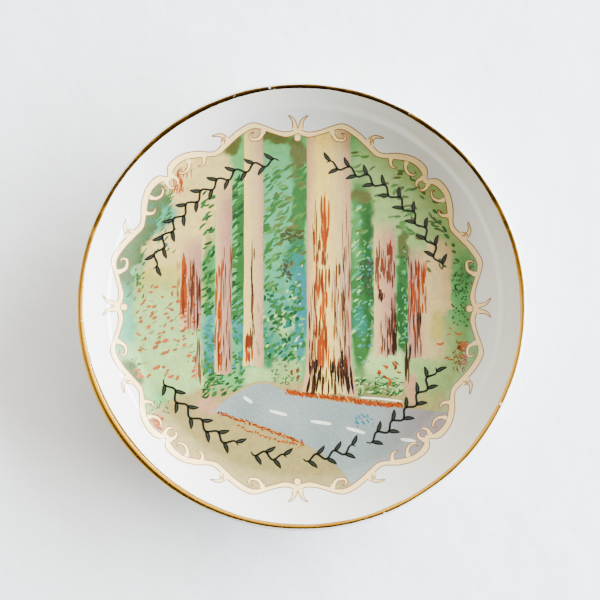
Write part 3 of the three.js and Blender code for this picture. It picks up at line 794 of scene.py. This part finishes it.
def bark_strokes(rng, row, waver):
    """Long upright strokes whose lean varies by waver degrees."""
    left, right, low, high, count, inks, size, width = row
    spread = (left, right, low + size[0] / 2, high - size[0] / 2)
    return dabs(rng, spread, count, inks, size, width, (90, waver), LAYERS["bark"], 0.012, 0.6, 12)


def trunk_groups(rng, edges, reach, flare, fading, inks, barks):
    """A trunk's wash, a ladder of rails from its foot to its head that fades into the ground's colour
    at the head, and its bark."""
    across, stations = math.ceil((edges[1] - edges[0]) / RAIL_PITCH), TRUNK_STATIONS
    x = np.linspace(edges[0], edges[1], across)
    head = np.minimum(reach[1], band_edge(x, 1))
    y = reach[0] + (head - reach[0]) * np.linspace(0, 1, stations)[:, None]
    grid = np.stack([np.broadcast_to(x, y.shape), y], -1)
    ragged = RAGGED * (noise(grid[..., 0], np.zeros_like(grid[..., 0]), 0.7, 21) - 0.5)
    grid[..., 1] += ragged * np.maximum(0, 1 - np.arange(stations) / 11)[:, None] * 2
    grid[..., 0] += WAVER * (noise(grid[..., 1], grid[..., 0], 3.5, 23) - 0.5)
    grid = flared(grid, edges, reach[0], flare)
    shade = shades_of(inks)
    place = np.linspace(0, len(shade) - 1, across)
    rails = np.stack([np.interp(place, np.arange(len(shade)), shade[:, i]) for i in range(3)], -1)
    paint = np.broadcast_to(rails, (stations, across, 3)).copy()
    fade = np.clip((grid[..., 1] - reach[1]) / max(fading, 0.01) + 1, 0, 1)[..., None] ** 1.5
    paint = paint * (1 - fade) + washed(grid[..., 0], grid[..., 1]) * fade
    tone = 0.92 + 0.16 * noise(grid[..., 0] * 3, grid[..., 1] * 0.5, 1.2, 25)
    ends = grid[[0, -1]].mean(1)
    groups = [(grid[None], ends[None], LAYERS["shape"], np.clip(paint * tone[..., None], 0, 1)[None])]
    for row in barks:
        rails, tips, lift, paint = bark_strokes(rng, row, 1.2)
        rails[..., 1] = np.clip(rails[..., 1], row[2], row[3])
        rails = flared(rails, edges, reach[0], flare)
        tips = flared(tips, edges, reach[0], flare)
        groups.append((rails, tips, lift, paint))
    return groups


# The road's two edges, and the white dashes along its middle: x, y, half length, turn in degrees.
ROAD_FAR = [
    (-19.0, -23.6), (-15.5, -20.6), (-11.5, -18.2), (-7.0, -17.4), (-2.5, -19.3),
    (6, -21.2), (16, -22.4), (26, -23.2), (34, -24.0), (42, -24.8),
]
ROAD_NEAR = [
    (-18.4, -24.3), (-13, -25.6), (-8, -27.2), (-3, -29.0), (2, -31.4),
    (6, -34), (9.4, -36.8), (11.4, -39), (13, -42), (16, -46),
]
ROAD_END = 34.9  # where the road runs under the band on the right
ROAD_STATIONS, ROAD_RAILS = 96, 42
DASHES = [
    (-11.4, -21.2, 1.4, -35), (-4.4, -24.2, 2.4, -14), (5.4, -26.4, 2.8, -8),
    (13.4, -28.2, 2.6, -16), (25.4, -30.4, 2.0, -8),
]
DASH_HALF = 0.36  # half width of a dash at its middle
# Blue smear on the road, in the columns of the foliage.
SMEAR = ((13.4, 17.4, -27.4, -24.6), 26, "smear blue", (0.4, 1.4), (0.2, 0.4), (-30, 25))


def road_groups(rng):
    """The road: rails spread evenly between its two edges, cut off by the band, with pale dashes."""
    far, near = through(ROAD_FAR, 200), through(ROAD_NEAR, 200)
    x = np.linspace(ROAD_FAR[0][0], ROAD_END, ROAD_STATIONS)
    top = np.interp(x, far[:, 0], far[:, 1])
    low = np.minimum(np.maximum(np.interp(x, near[:, 0], near[:, 1]), band_edge(x, -1)), top)
    share = np.linspace(0, 1, ROAD_RAILS)
    y = top[:, None] * (1 - share) + low[:, None] * share
    grid = np.stack([np.broadcast_to(x[:, None], y.shape), y], -1)
    tint = noise(grid[..., 0], grid[..., 1], 6, 31)[..., None]
    paint = SHADE["road"] * (1 - tint * 0.6) + SHADE["road_light"] * tint * 0.6
    mauve = np.clip((grid[..., 0] - 16) / 16, 0, 1)[..., None]
    paint = paint * (1 - mauve) + SHADE["road_mauve"] * mauve
    ends = grid[[0, -1]].mean(1)
    groups = [(grid[None], ends[None], LAYERS["shape"], paint[None])]
    for x, y, half, turn in DASHES:
        way = polar(np.radians(turn), 1.0)
        t = np.linspace(-1, 1, 9)[:, None]
        path = (np.array([x, y]) + way * half * t)[None]
        halves = DASH_HALF * (1 - t[:, 0] ** 2) ** 0.5 + 0.02
        groups.append((*ribbons(path, halves), LAYERS["mark"], SHADE["white"]))
    groups.append(dabs(rng, *SMEAR, LAYERS["mark"]))
    shoulder = through([(-21.4, -22.6), *ROAD_FAR[1:5]], 60)[None] + [0, 0.25]
    kerb = through([(14.4, -20.6), (19, -20.9), (24.2, -21.5)], 40)[None]
    groups.append(line_along(shoulder, 0.3, LAYERS["mark"], SHADE["shoulder"]))
    groups.append(line_along(kerb, 0.2, LAYERS["mark"], SHADE["white"]))
    return groups


def band_edge(x, side):
    """Height of the band's inner edge above (side 1) or below (side -1) a place along X: the edge's
    radius and the angle it is taken at are worked out from each other in turn."""
    y = np.full_like(x, 30.0 * side)
    for _ in range(12):
        radius = edge_radius(INNER_EDGE, np.arctan2(y, x)) + 0.2
        y = side * np.sqrt(np.maximum(radius**2 - x**2, 0))
    return y


def verge_groups(rng):
    """Short slanting strokes in rows along the road's two edges."""
    groups = []
    rows = [
        ([(-2.6, -19.4), (5, -20.3), (13.6, -21.3)], 130, "orange rust orange", 1.5, -58),
        ([(13.8, -21.6), (19, -22.1), (24.2, -22.4)], 110, "orange orange rust", 1.2, -66),
        ([(-18.4, -24.2), (-12, -26.2), (-5, -28.8), (1.4, -31.2)], 130, "orange rust", 0.7, -30),
        ([(-14, -27), (-6, -30), (0.5, -31.6)], 46, "orange", 0.7, -40),
    ]
    for row, count, names, size, lean in rows:
        line = through(row, count)
        spot = line + rng.normal(0, 0.2, line.shape)
        way = polar(np.radians(rng.normal(lean, 8, count)), 1.0)
        span = size * rng.uniform(0.6, 1.1, count)
        t = np.linspace(-0.5, 0.5, 5)[:, None]
        path = spot[:, None] + way[:, None] * span[:, None, None] * t
        halves = 0.15 * (1 - (2 * t[:, 0]) ** 2) ** 0.5 + 0.01
        rails, tips = ribbons(path, halves)
        shades = drawn(rng, names, count)
        lifts = LAYERS["bark"] + PILE * np.arange(count) / count
        groups.append((rails, tips, lifts, shades))
    return groups


# ---- Garlands -------------------------------------------------------------------------------

# First and last angle of each garland, in degrees, by the CAD node it stands for.
GARLANDS = {
    "garland_upper_left": (97, 165),
    "garland_upper_right": (15, 79),
    "garland_lower_far_left": (208, 247),
    "garland_lower_left": (252, 266),
    "garland_lower_middle": (272, 293),
    "garland_lower_right": (297, 337),
}
LEAF_PITCH = 2.3  # along the arc, in millimetres
SWING = 0.75  # of the stem to each side of its arc
LEAF_LEAN = 50  # degrees between a leaf and the radius through it
LEAF_HALF = 0.5  # half width of a leaf
LEAF_BOW = 0.07  # a leaf bows to one side by this share of its length
VEIN_HALF = 0.07  # half width of the paler line along a leaf
VEIN_START, VEIN_REACH = 0.12, 0.74  # shares of the leaf's length
VEIN_PALER = 5  # times as light as the leaf


def garland_groups(colours, sizes, first, last):
    """A wavy stem along an arc. A leaf with a paler vein grows at each crest of a wave, to alternate
    sides."""
    radius, stem, leaf = sizes.garland / MM, sizes.stem / MM, sizes.leaf / MM
    start, end = math.radians(first), math.radians(last)
    leaves = max(3, round((end - start) * radius / LEAF_PITCH))
    t = np.linspace(0, 1, leaves * 10 + 1)
    path = polar(start + (end - start) * t, radius + SWING * np.sin(math.pi * leaves * t))
    taper = np.minimum(1, np.minimum(t, 1 - t) * leaves) ** 0.6
    dark = np.asarray(colours.garland)
    groups = [(*ribbons(path[None], stem / 2 * (0.35 + 0.65 * taper)), LAYERS["garland"], dark)]
    crest = (np.arange(leaves) + 0.5) / leaves
    side = np.where(np.arange(leaves) % 2 == 0, 1, -1)
    angle = start + (end - start) * crest
    root = polar(angle, radius + side * (SWING - stem / 4))
    heading = angle + np.where(side > 0, math.radians(LEAF_LEAN), math.pi - math.radians(LEAF_LEAN))
    way, off = polar(heading, 1.0), polar(heading + math.pi / 2, 1.0)
    for width, from_root, reach, lift, shade in (
        (LEAF_HALF, 0, leaf, "garland", dark),
        (VEIN_HALF, VEIN_START * leaf, VEIN_REACH * leaf, "vein", dark * VEIN_PALER),
    ):
        u = np.linspace(0, 1, 12)
        bow = LEAF_BOW * leaf * np.sin(math.pi * (from_root + u * reach) / leaf) * side[:, None]
        out = way[:, None] * (from_root + u * reach)[:, None]
        middle = root[:, None] + out + off[:, None] * bow[..., None]
        halves = width * np.sin(math.pi * u**0.85) ** 0.75 + 0.01
        groups.append((*ribbons(middle, halves, 4), LAYERS[lift], shade))
    return groups


# ---- Materials ------------------------------------------------------------------------------


class Nodes:
    """Adds and links the nodes of a material or a world, which ends in one shader."""

    def __init__(self, made, shader="Principled BSDF"):
        made.use_nodes = True
        self.made, self.tree = made, made.node_tree
        self.shader = self.tree.nodes[shader]

    def add(self, kind, inputs=(), **settings):
        node = self.tree.nodes.new(kind)
        for key, value in settings.items():
            setattr(node, key, value)
        for key, value in dict(inputs).items():
            if isinstance(value, bpy.types.NodeSocket):
                self.tree.links.new(value, node.inputs[key])
            else:
                node.inputs[key].default_value = value
        return node

    def drive(self, source, key):
        """Links an output to one of the shader's own sockets."""
        self.tree.links.new(source, self.shader.inputs[key])

    def place(self):
        return self.add("ShaderNodeTexCoord").outputs["Object"]

    def grain(self, scale, detail):
        """Noise of a scale per metre."""
        inputs = {"Vector": self.place(), "Scale": scale, "Detail": detail}
        return self.add("ShaderNodeTexNoise", inputs).outputs["Fac"]

    def between(self, share, low, high, first=0.0, last=1.0, **settings):
        """Low where a share is at its first value, high at its last, clamped outside them."""
        inputs = {"Value": share, "From Min": first, "From Max": last, "To Min": low, "To Max": high}
        return self.add("ShaderNodeMapRange", inputs, **settings).outputs["Result"]

    def times(self, first, second):
        return self.add("ShaderNodeMath", {0: first, 1: second}, operation="MULTIPLY").outputs[0]

    def mixed(self, share, first, second):
        node = self.add("ShaderNodeMix", {0: share}, data_type="RGBA")
        for key, value in ((6, first), (7, second)):
            if isinstance(value, bpy.types.NodeSocket):
                self.tree.links.new(value, node.inputs[key])
            else:
                node.inputs[key].default_value = (*value, 1)
        return node.outputs[2]

    def bump(self, height, strength, distance):
        node = self.add("ShaderNodeBump", {"Height": height, "Strength": strength, "Distance": distance})
        self.drive(node.outputs["Normal"], "Normal")

    def waves(self):
        """The glaze's faint waves, which the enamel fired into it shares."""
        self.bump(self.grain(38, 1), 0.12, 0.0006)


def glaze_material():
    """Clear gloss: a white that wanders a little, a few iron specks, and faint waves in the surface."""
    m = Nodes(bpy.data.materials.new("Clear gloss glaze"))
    white = np.asarray(bpy.context.scene.plate_colours.glaze)
    body = m.mixed(m.between(m.grain(45, 2), 0, 1, 0.35, 0.65), white * 0.97, white)
    speck = m.add("ShaderNodeTexVoronoi", {"Vector": m.place(), "Scale": 120})
    seldom = m.between(speck.outputs["Distance"], 1, 0, 0.02, 0.05)
    chosen = m.between(m.grain(60, 0), 0, 0.55, 0.68, 0.7)
    m.drive(m.mixed(m.times(seldom, chosen), body, (0.35, 0.27, 0.2)), "Base Color")
    m.drive(m.between(m.grain(300, 3), 0.04, 0.1), "Roughness")
    m.shader.inputs["IOR"].default_value = 1.52
    m.waves()
    return m.made


def biscuit_material():
    """Bare fired clay: matt and sandy."""
    m = Nodes(bpy.data.materials.new("Fired biscuit"))
    clay = np.asarray(bpy.context.scene.plate_colours.biscuit)
    m.drive(m.mixed(m.grain(900, 4), clay * 0.82, clay), "Base Color")
    m.drive(m.between(m.grain(700, 3), 0.55, 0.8), "Roughness")
    m.bump(m.grain(2500, 3), 0.5, 0.00005)
    return m.made


def gilt_material():
    """Burnished gold with brush streaks, tarnish in patches and small worn flecks down to the glaze. Towards
    +Y the gold is turned near-black in blotches: a painted dark reflection.
    """
    m = Nodes(bpy.data.materials.new("Burnished gilt"))
    gold = np.asarray(bpy.context.scene.plate_colours.gold)
    patch = m.between(m.grain(70, 4), 0, 1, 0.42, 0.68)
    fresh = m.mixed(patch, gold, gold * (0.72, 0.62, 0.5))
    axes = m.add("ShaderNodeSeparateXYZ", {0: m.place()})
    # Painted dark reflection: a share that rises towards +Y, the side where the gold mirrors a dark room.
    painted_dark_reflection = m.between(axes.outputs["Y"], 0, 0.9, 0.002, 0.02)
    blotch = m.between(m.grain(260, 3), 0.25, 1, 0.3, 0.5)
    # tone lays the painted dark reflection, a near-black gold, over the fresh and tarnished gold.
    tone = m.mixed(m.times(painted_dark_reflection, blotch), fresh, gold * (0.13, 0.11, 0.1))
    worn = m.between(m.grain(900, 3), 0, 1, 0.69, 0.71)
    thin = m.between(m.grain(40, 1), 0, 1, 0.5, 0.62)
    bare = m.times(worn, thin)
    m.drive(m.mixed(bare, tone, (0.8, 0.77, 0.68)), "Base Color")
    m.drive(m.between(bare, 1, 0), "Metallic")
    m.drive(m.between(m.grain(1600, 3), 0.16, 0.34), "Roughness")
    m.bump(m.grain(1800, 2), 0.25, 0.00003)
    return m.made


def enamel_material(name, grain=0.08):
    """Printed enamel: the painted colour, broken by the printing screen's fine dots and by a slight
    unevenness of the ink, under gloss."""
    m = Nodes(bpy.data.materials.new(name))
    base = m.add("ShaderNodeAttribute", attribute_name="paint").outputs["Color"]
    dots = m.add("ShaderNodeTexVoronoi", {"Vector": m.place(), "Scale": 3200})
    dotted = m.between(dots.outputs["Distance"], 1 + grain, 1 - grain, 0.1, 0.6)
    cloud = m.between(m.grain(1500, 3), 1 - grain, 1 + grain, 0.3, 0.7)
    toned = m.add("ShaderNodeVectorMath", {0: base, 1: m.times(dotted, cloud)}, operation="MULTIPLY")
    m.drive(toned.outputs[0], "Base Color")
    m.drive(m.between(m.grain(800, 3), 0.08, 0.18), "Roughness")
    m.shader.inputs["IOR"].default_value = 1.5
    m.waves()
    return m.made


def floor_material():
    """White paper with a faint tooth and slow undulations."""
    m = Nodes(bpy.data.materials.new("Pale paper"))
    pale = np.asarray(bpy.context.scene.plate_colours.floor)
    m.drive(m.mixed(m.grain(14, 4), pale * 0.96, pale), "Base Color")
    m.shader.inputs["Roughness"].default_value = 0.85
    m.bump(m.grain(60, 5), 0.3, 0.002)
    return m.made


# ---- Operators ------------------------------------------------------------------------------


def ware():
    return Ware(bpy.context.scene.plate_sizes)


class PLATE_OT_body(bpy.types.Operator):
    """Fired clay under the glaze, bare where the foot ring stands on the table"""

    bl_idname = "plate.body"
    bl_label = "Fired body"

    def execute(self, context):
        w = ware()
        under = w.glaze + 0.01
        ware_line, recess_line = inset(w.outer(), under), inset(w.recess(), under)
        outer, inner = ware_line[-1], recess_line[0]
        foot = rounded([outer, np.array([outer[0], 0]), np.array([inner[0], 0]), inner], FOOT_EDGE)
        profile = np.concatenate([ware_line[:-1], foot, recess_line[1:]])
        made = turned("fired_body", profile, context.scene.plate_sizes.steps)
        finished(made, biscuit_material(), "porcelain", "porcelain_body")
        return {"FINISHED"}


class PLATE_OT_glaze(bpy.types.Operator):
    """Gloss glaze over the face, lip and outside, and in the recess under the well"""

    bl_idname = "plate.glaze"
    bl_label = "Glaze"

    def execute(self, context):
        w, steps, gloss = ware(), context.scene.plate_sizes.steps, glaze_material()
        outer, recess = w.outer(), w.recess()
        coat = turned("glaze_face", np.concatenate([outer, inset(outer, w.glaze)[::-1]]), steps)
        finished(coat, gloss, "glaze", "glaze_coat")
        under = turned("glaze_recess", np.concatenate([inset(recess, w.glaze)[::-1], recess]), steps)
        finished(under, gloss, "glaze", "glaze_foot_recess")
        return {"FINISHED"}


# The gilt line's two edges, from the lip's crown over its nose, and where the brush dwelt on it and
# spread it both ways, in degrees round the lip.
GILT_FROM, GILT_TO = 0.1, 1.15
DWELL_AT, DWELL_SPREAD = 216, 26
GILT_LIFT, GILT_SINK = 0.002, 0.004
GILT_STEPS, GILT_STATIONS = 1080, 16


class PLATE_OT_gilt(bpy.types.Operator):
    """Hand-lined gilt over the lip's nose, wider where the brush dwelt"""

    bl_idname = "plate.gilt"
    bl_label = "Gilt line"

    def execute(self, context):
        w = ware()
        angle = once_round(GILT_STEPS)
        wander = noise(np.cos(angle) * 30, np.sin(angle) * 30, 4, 41) - 0.5
        fine = noise(np.cos(angle) * 200, np.sin(angle) * 200, 4, 43) - 0.5
        dwell = np.exp(-((np.degrees(angle) - DWELL_AT) / DWELL_SPREAD) ** 2)
        start = GILT_FROM - 0.9 * dwell + 0.3 * wander + 0.08 * fine
        end = GILT_TO + 1.0 * dwell + 0.24 * wander[::-1] + 0.06 * fine[::-1]
        t = np.linspace(0, 1, GILT_STATIONS)[:, None]
        places, normals = gilt_section(w, start + (end - start) * t)
        skin = GILT * 0.6 * np.minimum(1, np.minimum(t, 1 - t) * 8)
        top = places + normals * (skin + GILT_LIFT)[..., None]
        bottom = places - normals * GILT_SINK
        section = np.concatenate([top, bottom[::-1]])
        made = tubes("gilt_line", spun(section[..., 0], section[..., 1], angle)[None])
        finished(made, gilt_material(), "gilt", "gilt_rim")
        return {"FINISHED"}


def gilt_section(w, along):
    """Places and outward normals on the lip at a distance from the crown over the nose. Before the
    crown lies the face's last stretch and past the nose the outside's, both straight."""
    bow = math.pi * w.lip / 2
    turn = np.clip(along, 0, bow) / (w.lip / 2)
    places = w.nose_arc(turn)
    normals = (places - w.nose) / (w.lip / 2)
    down = np.array([w.lip_normal[1], -w.lip_normal[0]])
    before, past = np.minimum(along, 0), np.maximum(along - bow, 0)
    return places + down * (before - past)[..., None], normals


class PLATE_OT_ground(bpy.types.Operator):
    """The picture's washes of enamel inside the border"""

    bl_idname = "plate.ground"
    bl_label = "Picture ground"

    def execute(self, context):
        made = ground("picture_wash", ware())
        finished(made, enamel_material("Washed enamel"), "ground_enamel", "picture_ground")
        return {"FINISHED"}


class PLATE_OT_foliage(bpy.types.Operator):
    """Dashes of foliage, leaf dabs and smudges between the trunks"""

    bl_idname = "plate.foliage"
    bl_label = "Foliage"

    def execute(self, context):
        w, rng = ware(), np.random.default_rng(71)
        for name, rows, layer, finish, slot in (
            ("foliage", FOLIAGE, "leaf", "Foliage enamel", "ground_enamel"),
            ("leaf_dabs", WARM, "mark", "Leaf enamel", "bark_enamel"),
            ("smudges", SMUDGES, "mark", "Smudged enamel", "dark_enamel"),
        ):
            made = films(name, w, [dabs(rng, *row, LAYERS[layer]) for row in rows])
            finished(made, enamel_material(finish), slot)
        return {"FINISHED"}


class PLATE_OT_trunks(bpy.types.Operator):
    """Six tall trunks with their bark"""

    bl_idname = "plate.trunks"
    bl_label = "Trunks"

    def execute(self, context):
        w, rng = ware(), np.random.default_rng(83)
        bark = enamel_material("Bark enamel")
        for node, *rest in TRUNKS:
            made = films(node.replace("trunk_", "tree_"), w, trunk_groups(rng, *rest))
            finished(made, bark, "bark_enamel", node)
        thin = bark_strokes(rng, SAPLING, 1.5)
        finished(films("tree_sapling", w, [thin]), bark, "bark_enamel")
        return {"FINISHED"}


class PLATE_OT_road(bpy.types.Operator):
    """The road, its pale dashes and the hatched verges"""

    bl_idname = "plate.road"
    bl_label = "Road"

    def execute(self, context):
        w, rng = ware(), np.random.default_rng(97)
        road = films("road_wash", w, road_groups(rng))
        finished(road, enamel_material("Road enamel"), "road_enamel", "road")
        verges = films("verge_hatching", w, verge_groups(rng))
        finished(verges, enamel_material("Verge enamel"), "bark_enamel")
        return {"FINISHED"}


class PLATE_OT_border(bpy.types.Operator):
    """Cream scrolled border with its thin outline, and the four beads"""

    bl_idname = "plate.border"
    bl_label = "Scrolled border"

    def execute(self, context):
        w = ware()
        colours, sizes = context.scene.plate_colours, context.scene.plate_transfer
        line, bead = sizes.line / MM, sizes.bead / MM
        cream, brown = np.asarray(colours.cream), np.asarray(colours.outline)
        angle = once_round(ALONG_BAND)
        inner, outer = edge_radius(INNER_EDGE, angle), edge_radius(OUTER_EDGE, angle)
        share = np.linspace(0, 1, ACROSS_BAND)
        radius = inner[:, None] * (1 - share) + outer[:, None] * share
        band = polar(angle[:, None], radius)[None]
        groups = [(band, None, LAYERS["band"], cream)]
        for edge in (inner, outer):
            groups.append(closed_line(edge, line / 2, LAYERS["line"], brown))
        groups += scroll_groups(colours, line)
        made = films("scrolled_band", w, groups)
        finished(made, enamel_material("Cream enamel", grain=0.04), "cream_enamel", "scroll_border")
        reach = edge_radius(INNER_EDGE, np.zeros(1))[0] - bead * BEAD_INSET
        spin = np.linspace(-1, 1, BEAD_STATIONS)
        ringed = enamel_material("Bead enamel", grain=0.04)
        for name, turn in {"right": 0, "top": 90, "left": 180, "bottom": 270}.items():
            spot = polar(math.radians(turn), reach)
            pearls = []
            for radius, lift, shade in ((bead, "scroll_line", brown), (bead - line, "garland", cream)):
                path = spot + np.stack([spin * radius, 0 * spin], -1)
                halves = radius * np.sqrt(np.maximum(1 - spin**2, 0))
                pearls.append((*ribbons(path[None], halves, 5), LAYERS[lift], shade))
            finished(films("pearl_" + name, w, pearls), ringed, "cream_enamel", "bead_" + name)
        return {"FINISHED"}


class PLATE_OT_garlands(bpy.types.Operator):
    """Leafy garlands on two arcs round the picture"""

    bl_idname = "plate.garlands"
    bl_label = "Garlands"

    def execute(self, context):
        w = ware()
        colours, sizes = context.scene.plate_colours, context.scene.plate_transfer
        dark = enamel_material("Garland enamel", grain=0.1)
        for node, (first, last) in GARLANDS.items():
            made = films(node.replace("garland_", "vine_"), w, garland_groups(colours, sizes, first, last))
            finished(made, dark, "dark_enamel", node)
        return {"FINISHED"}


FLOOR_HALF, FLOOR_CELLS, FLOOR_DROP = 1.6, 120, 0.00002  # metres, cells along a side, metres
# Lights that face the plate: name, place and size in metres, power in watts, tint, and whether gloss
# mirrors them. The window's own glare would veil the picture's left side.
LIGHTS = [
    ("Window", (0.88, 0.24, 0.36), (1.6, 0.5), 120, (0.8, 0.9, 1.0), False),
    ("Sill", (1.0, 0.3, 0.13), (1.6, 0.1), 26, (0.9, 0.95, 1.0), True),
]
LENS, SENSOR = 110, 36
VIEW_WIDTH = 0.1353  # metres that the camera sees across at the plate
LEAN_FRONT, LEAN_LEFT = 6.0, 2.4  # degrees between the view and the plate's axis
LOOK_AT = (-0.0006, 0.0008)  # metres from the axis
# The room's light: a direction, the cosines to it between which a share runs, and the share's values.
ROOM = [
    ((0.75, 0.6, -0.1), (-1.0, 1.0), (2.6, 3.7)),
    ((0.0, 0.0, 1.0), (0.9, 0.99), (1.0, 0.3)),
    ((-0.1, -0.74, 0.66), (0.4, 0.75), (1.0, 0.04)),
]
ROOM_TINT = (1.0, 0.97, 0.86, 1)


def area_light(name, place, size, power, tint, mirrored):
    lamp = bpy.data.lights.new(name, "AREA")
    lamp.shape, lamp.size, lamp.size_y = "RECTANGLE", size[0], size[1]
    lamp.energy, lamp.color = power, tint
    holder = placed(name, lamp)
    holder.location = place
    holder.rotation_euler = (-Vector(place)).to_track_quat("-Z", "Y").to_euler()
    holder.visible_glossy = mirrored


class PLATE_OT_stage(bpy.types.Operator):
    """Floor, window light and camera"""

    bl_idname = "plate.stage"
    bl_label = "Stage"

    def execute(self, context):
        t = np.linspace(-FLOOR_HALF, FLOOR_HALF, FLOOR_CELLS + 1)
        x, y = np.meshgrid(t, t)
        floor = grid_sheet("floor", x, y, np.full_like(x, -FLOOR_DROP))
        floor.data.materials.append(floor_material())
        for row in LIGHTS:
            area_light(*row)
        context.scene.world = room()
        camera = bpy.data.cameras.new("Camera")
        camera.lens, camera.sensor_width = LENS, SENSOR
        holder = placed("Camera", camera)
        leans = (-math.tan(math.radians(lean)) for lean in (LEAN_LEFT, LEAN_FRONT))
        way = Vector((*leans, 1)).normalized()
        target = Vector((*LOOK_AT, context.scene.plate_sizes.height))
        holder.location = target + way * (VIEW_WIDTH * camera.lens / camera.sensor_width)
        holder.rotation_euler = camera_turn(way)
        context.scene.camera = holder
        return {"FINISHED"}


def room():
    """A room that is brightest on the window's side, and dark overhead and where someone stands in
    front. Each share falls off with the angle between a direction and its own."""
    m = Nodes(bpy.data.worlds.new("Room"), "Background")
    way = m.add("ShaderNodeTexCoord").outputs["Generated"]
    total = None
    for aim, (near, far), (low, high) in ROOM:
        toward = m.add("ShaderNodeVectorMath", {0: way, 1: aim}, operation="DOT_PRODUCT").outputs["Value"]
        fall = m.between(toward, low, high, near, far, interpolation_type="SMOOTHSTEP")
        total = fall if total is None else m.times(total, fall)
    m.drive(total, "Strength")
    m.shader.inputs["Color"].default_value = ROOM_TINT
    return m.made


def camera_turn(way):
    """Turn of a camera that looks back along a direction, with +Y upwards in its picture."""
    back = way.normalized()
    right = Vector((0, 1, 0)).cross(back).normalized()
    up = back.cross(right)
    return Matrix((right, up, back)).transposed().to_euler()


def grid_sheet(name, x, y, z):
    """A sheet of quads over a grid of places in metres."""
    rows, columns = x.shape
    mesh = bpy.data.meshes.new(name)
    i, j = np.meshgrid(np.arange(rows - 1), np.arange(columns - 1), indexing="ij")
    first = i * columns + j
    faces = np.stack([first, first + 1, first + columns + 1, first + columns], -1).reshape(-1, 4)
    mesh.from_pydata(np.stack([x, y, z], -1).reshape(-1, 3), [], faces)
    return placed(name, mesh)


class PLATE_PT_builder(bpy.types.Panel):
    """Builds the plate step by step"""

    bl_idname = "PLATE_PT_builder"
    bl_label = "Souvenir plate"
    bl_space_type = "VIEW_3D"
    bl_region_type = "UI"
    bl_category = "Plate"

    def draw(self, context):
        for group in (context.scene.plate_sizes, context.scene.plate_transfer, context.scene.plate_colours):
            box = self.layout.box()
            for name in group.__annotations__:
                box.prop(group, name)
        for operator in OPERATORS:
            self.layout.operator(operator.bl_idname)


OPERATORS = [
    PLATE_OT_body, PLATE_OT_glaze, PLATE_OT_gilt, PLATE_OT_ground, PLATE_OT_foliage, PLATE_OT_trunks,
    PLATE_OT_road, PLATE_OT_border, PLATE_OT_garlands, PLATE_OT_stage,
]
CLASSES = [PlateSizes, TransferSizes, PlateColours, *OPERATORS, PLATE_PT_builder]


def register():
    for one in CLASSES:
        bpy.utils.register_class(one)
    bpy.types.Scene.plate_sizes = PointerProperty(type=PlateSizes)
    bpy.types.Scene.plate_transfer = PointerProperty(type=TransferSizes)
    bpy.types.Scene.plate_colours = PointerProperty(type=PlateColours)


def unregister():
    del bpy.types.Scene.plate_colours
    del bpy.types.Scene.plate_transfer
    del bpy.types.Scene.plate_sizes
    for one in reversed(CLASSES):
        bpy.utils.unregister_class(one)


def main():
    register()
    for operator in OPERATORS:
        group, name = operator.bl_idname.split(".")
        getattr(getattr(bpy.ops, group), name)()


if __name__ == "__main__":
    main()
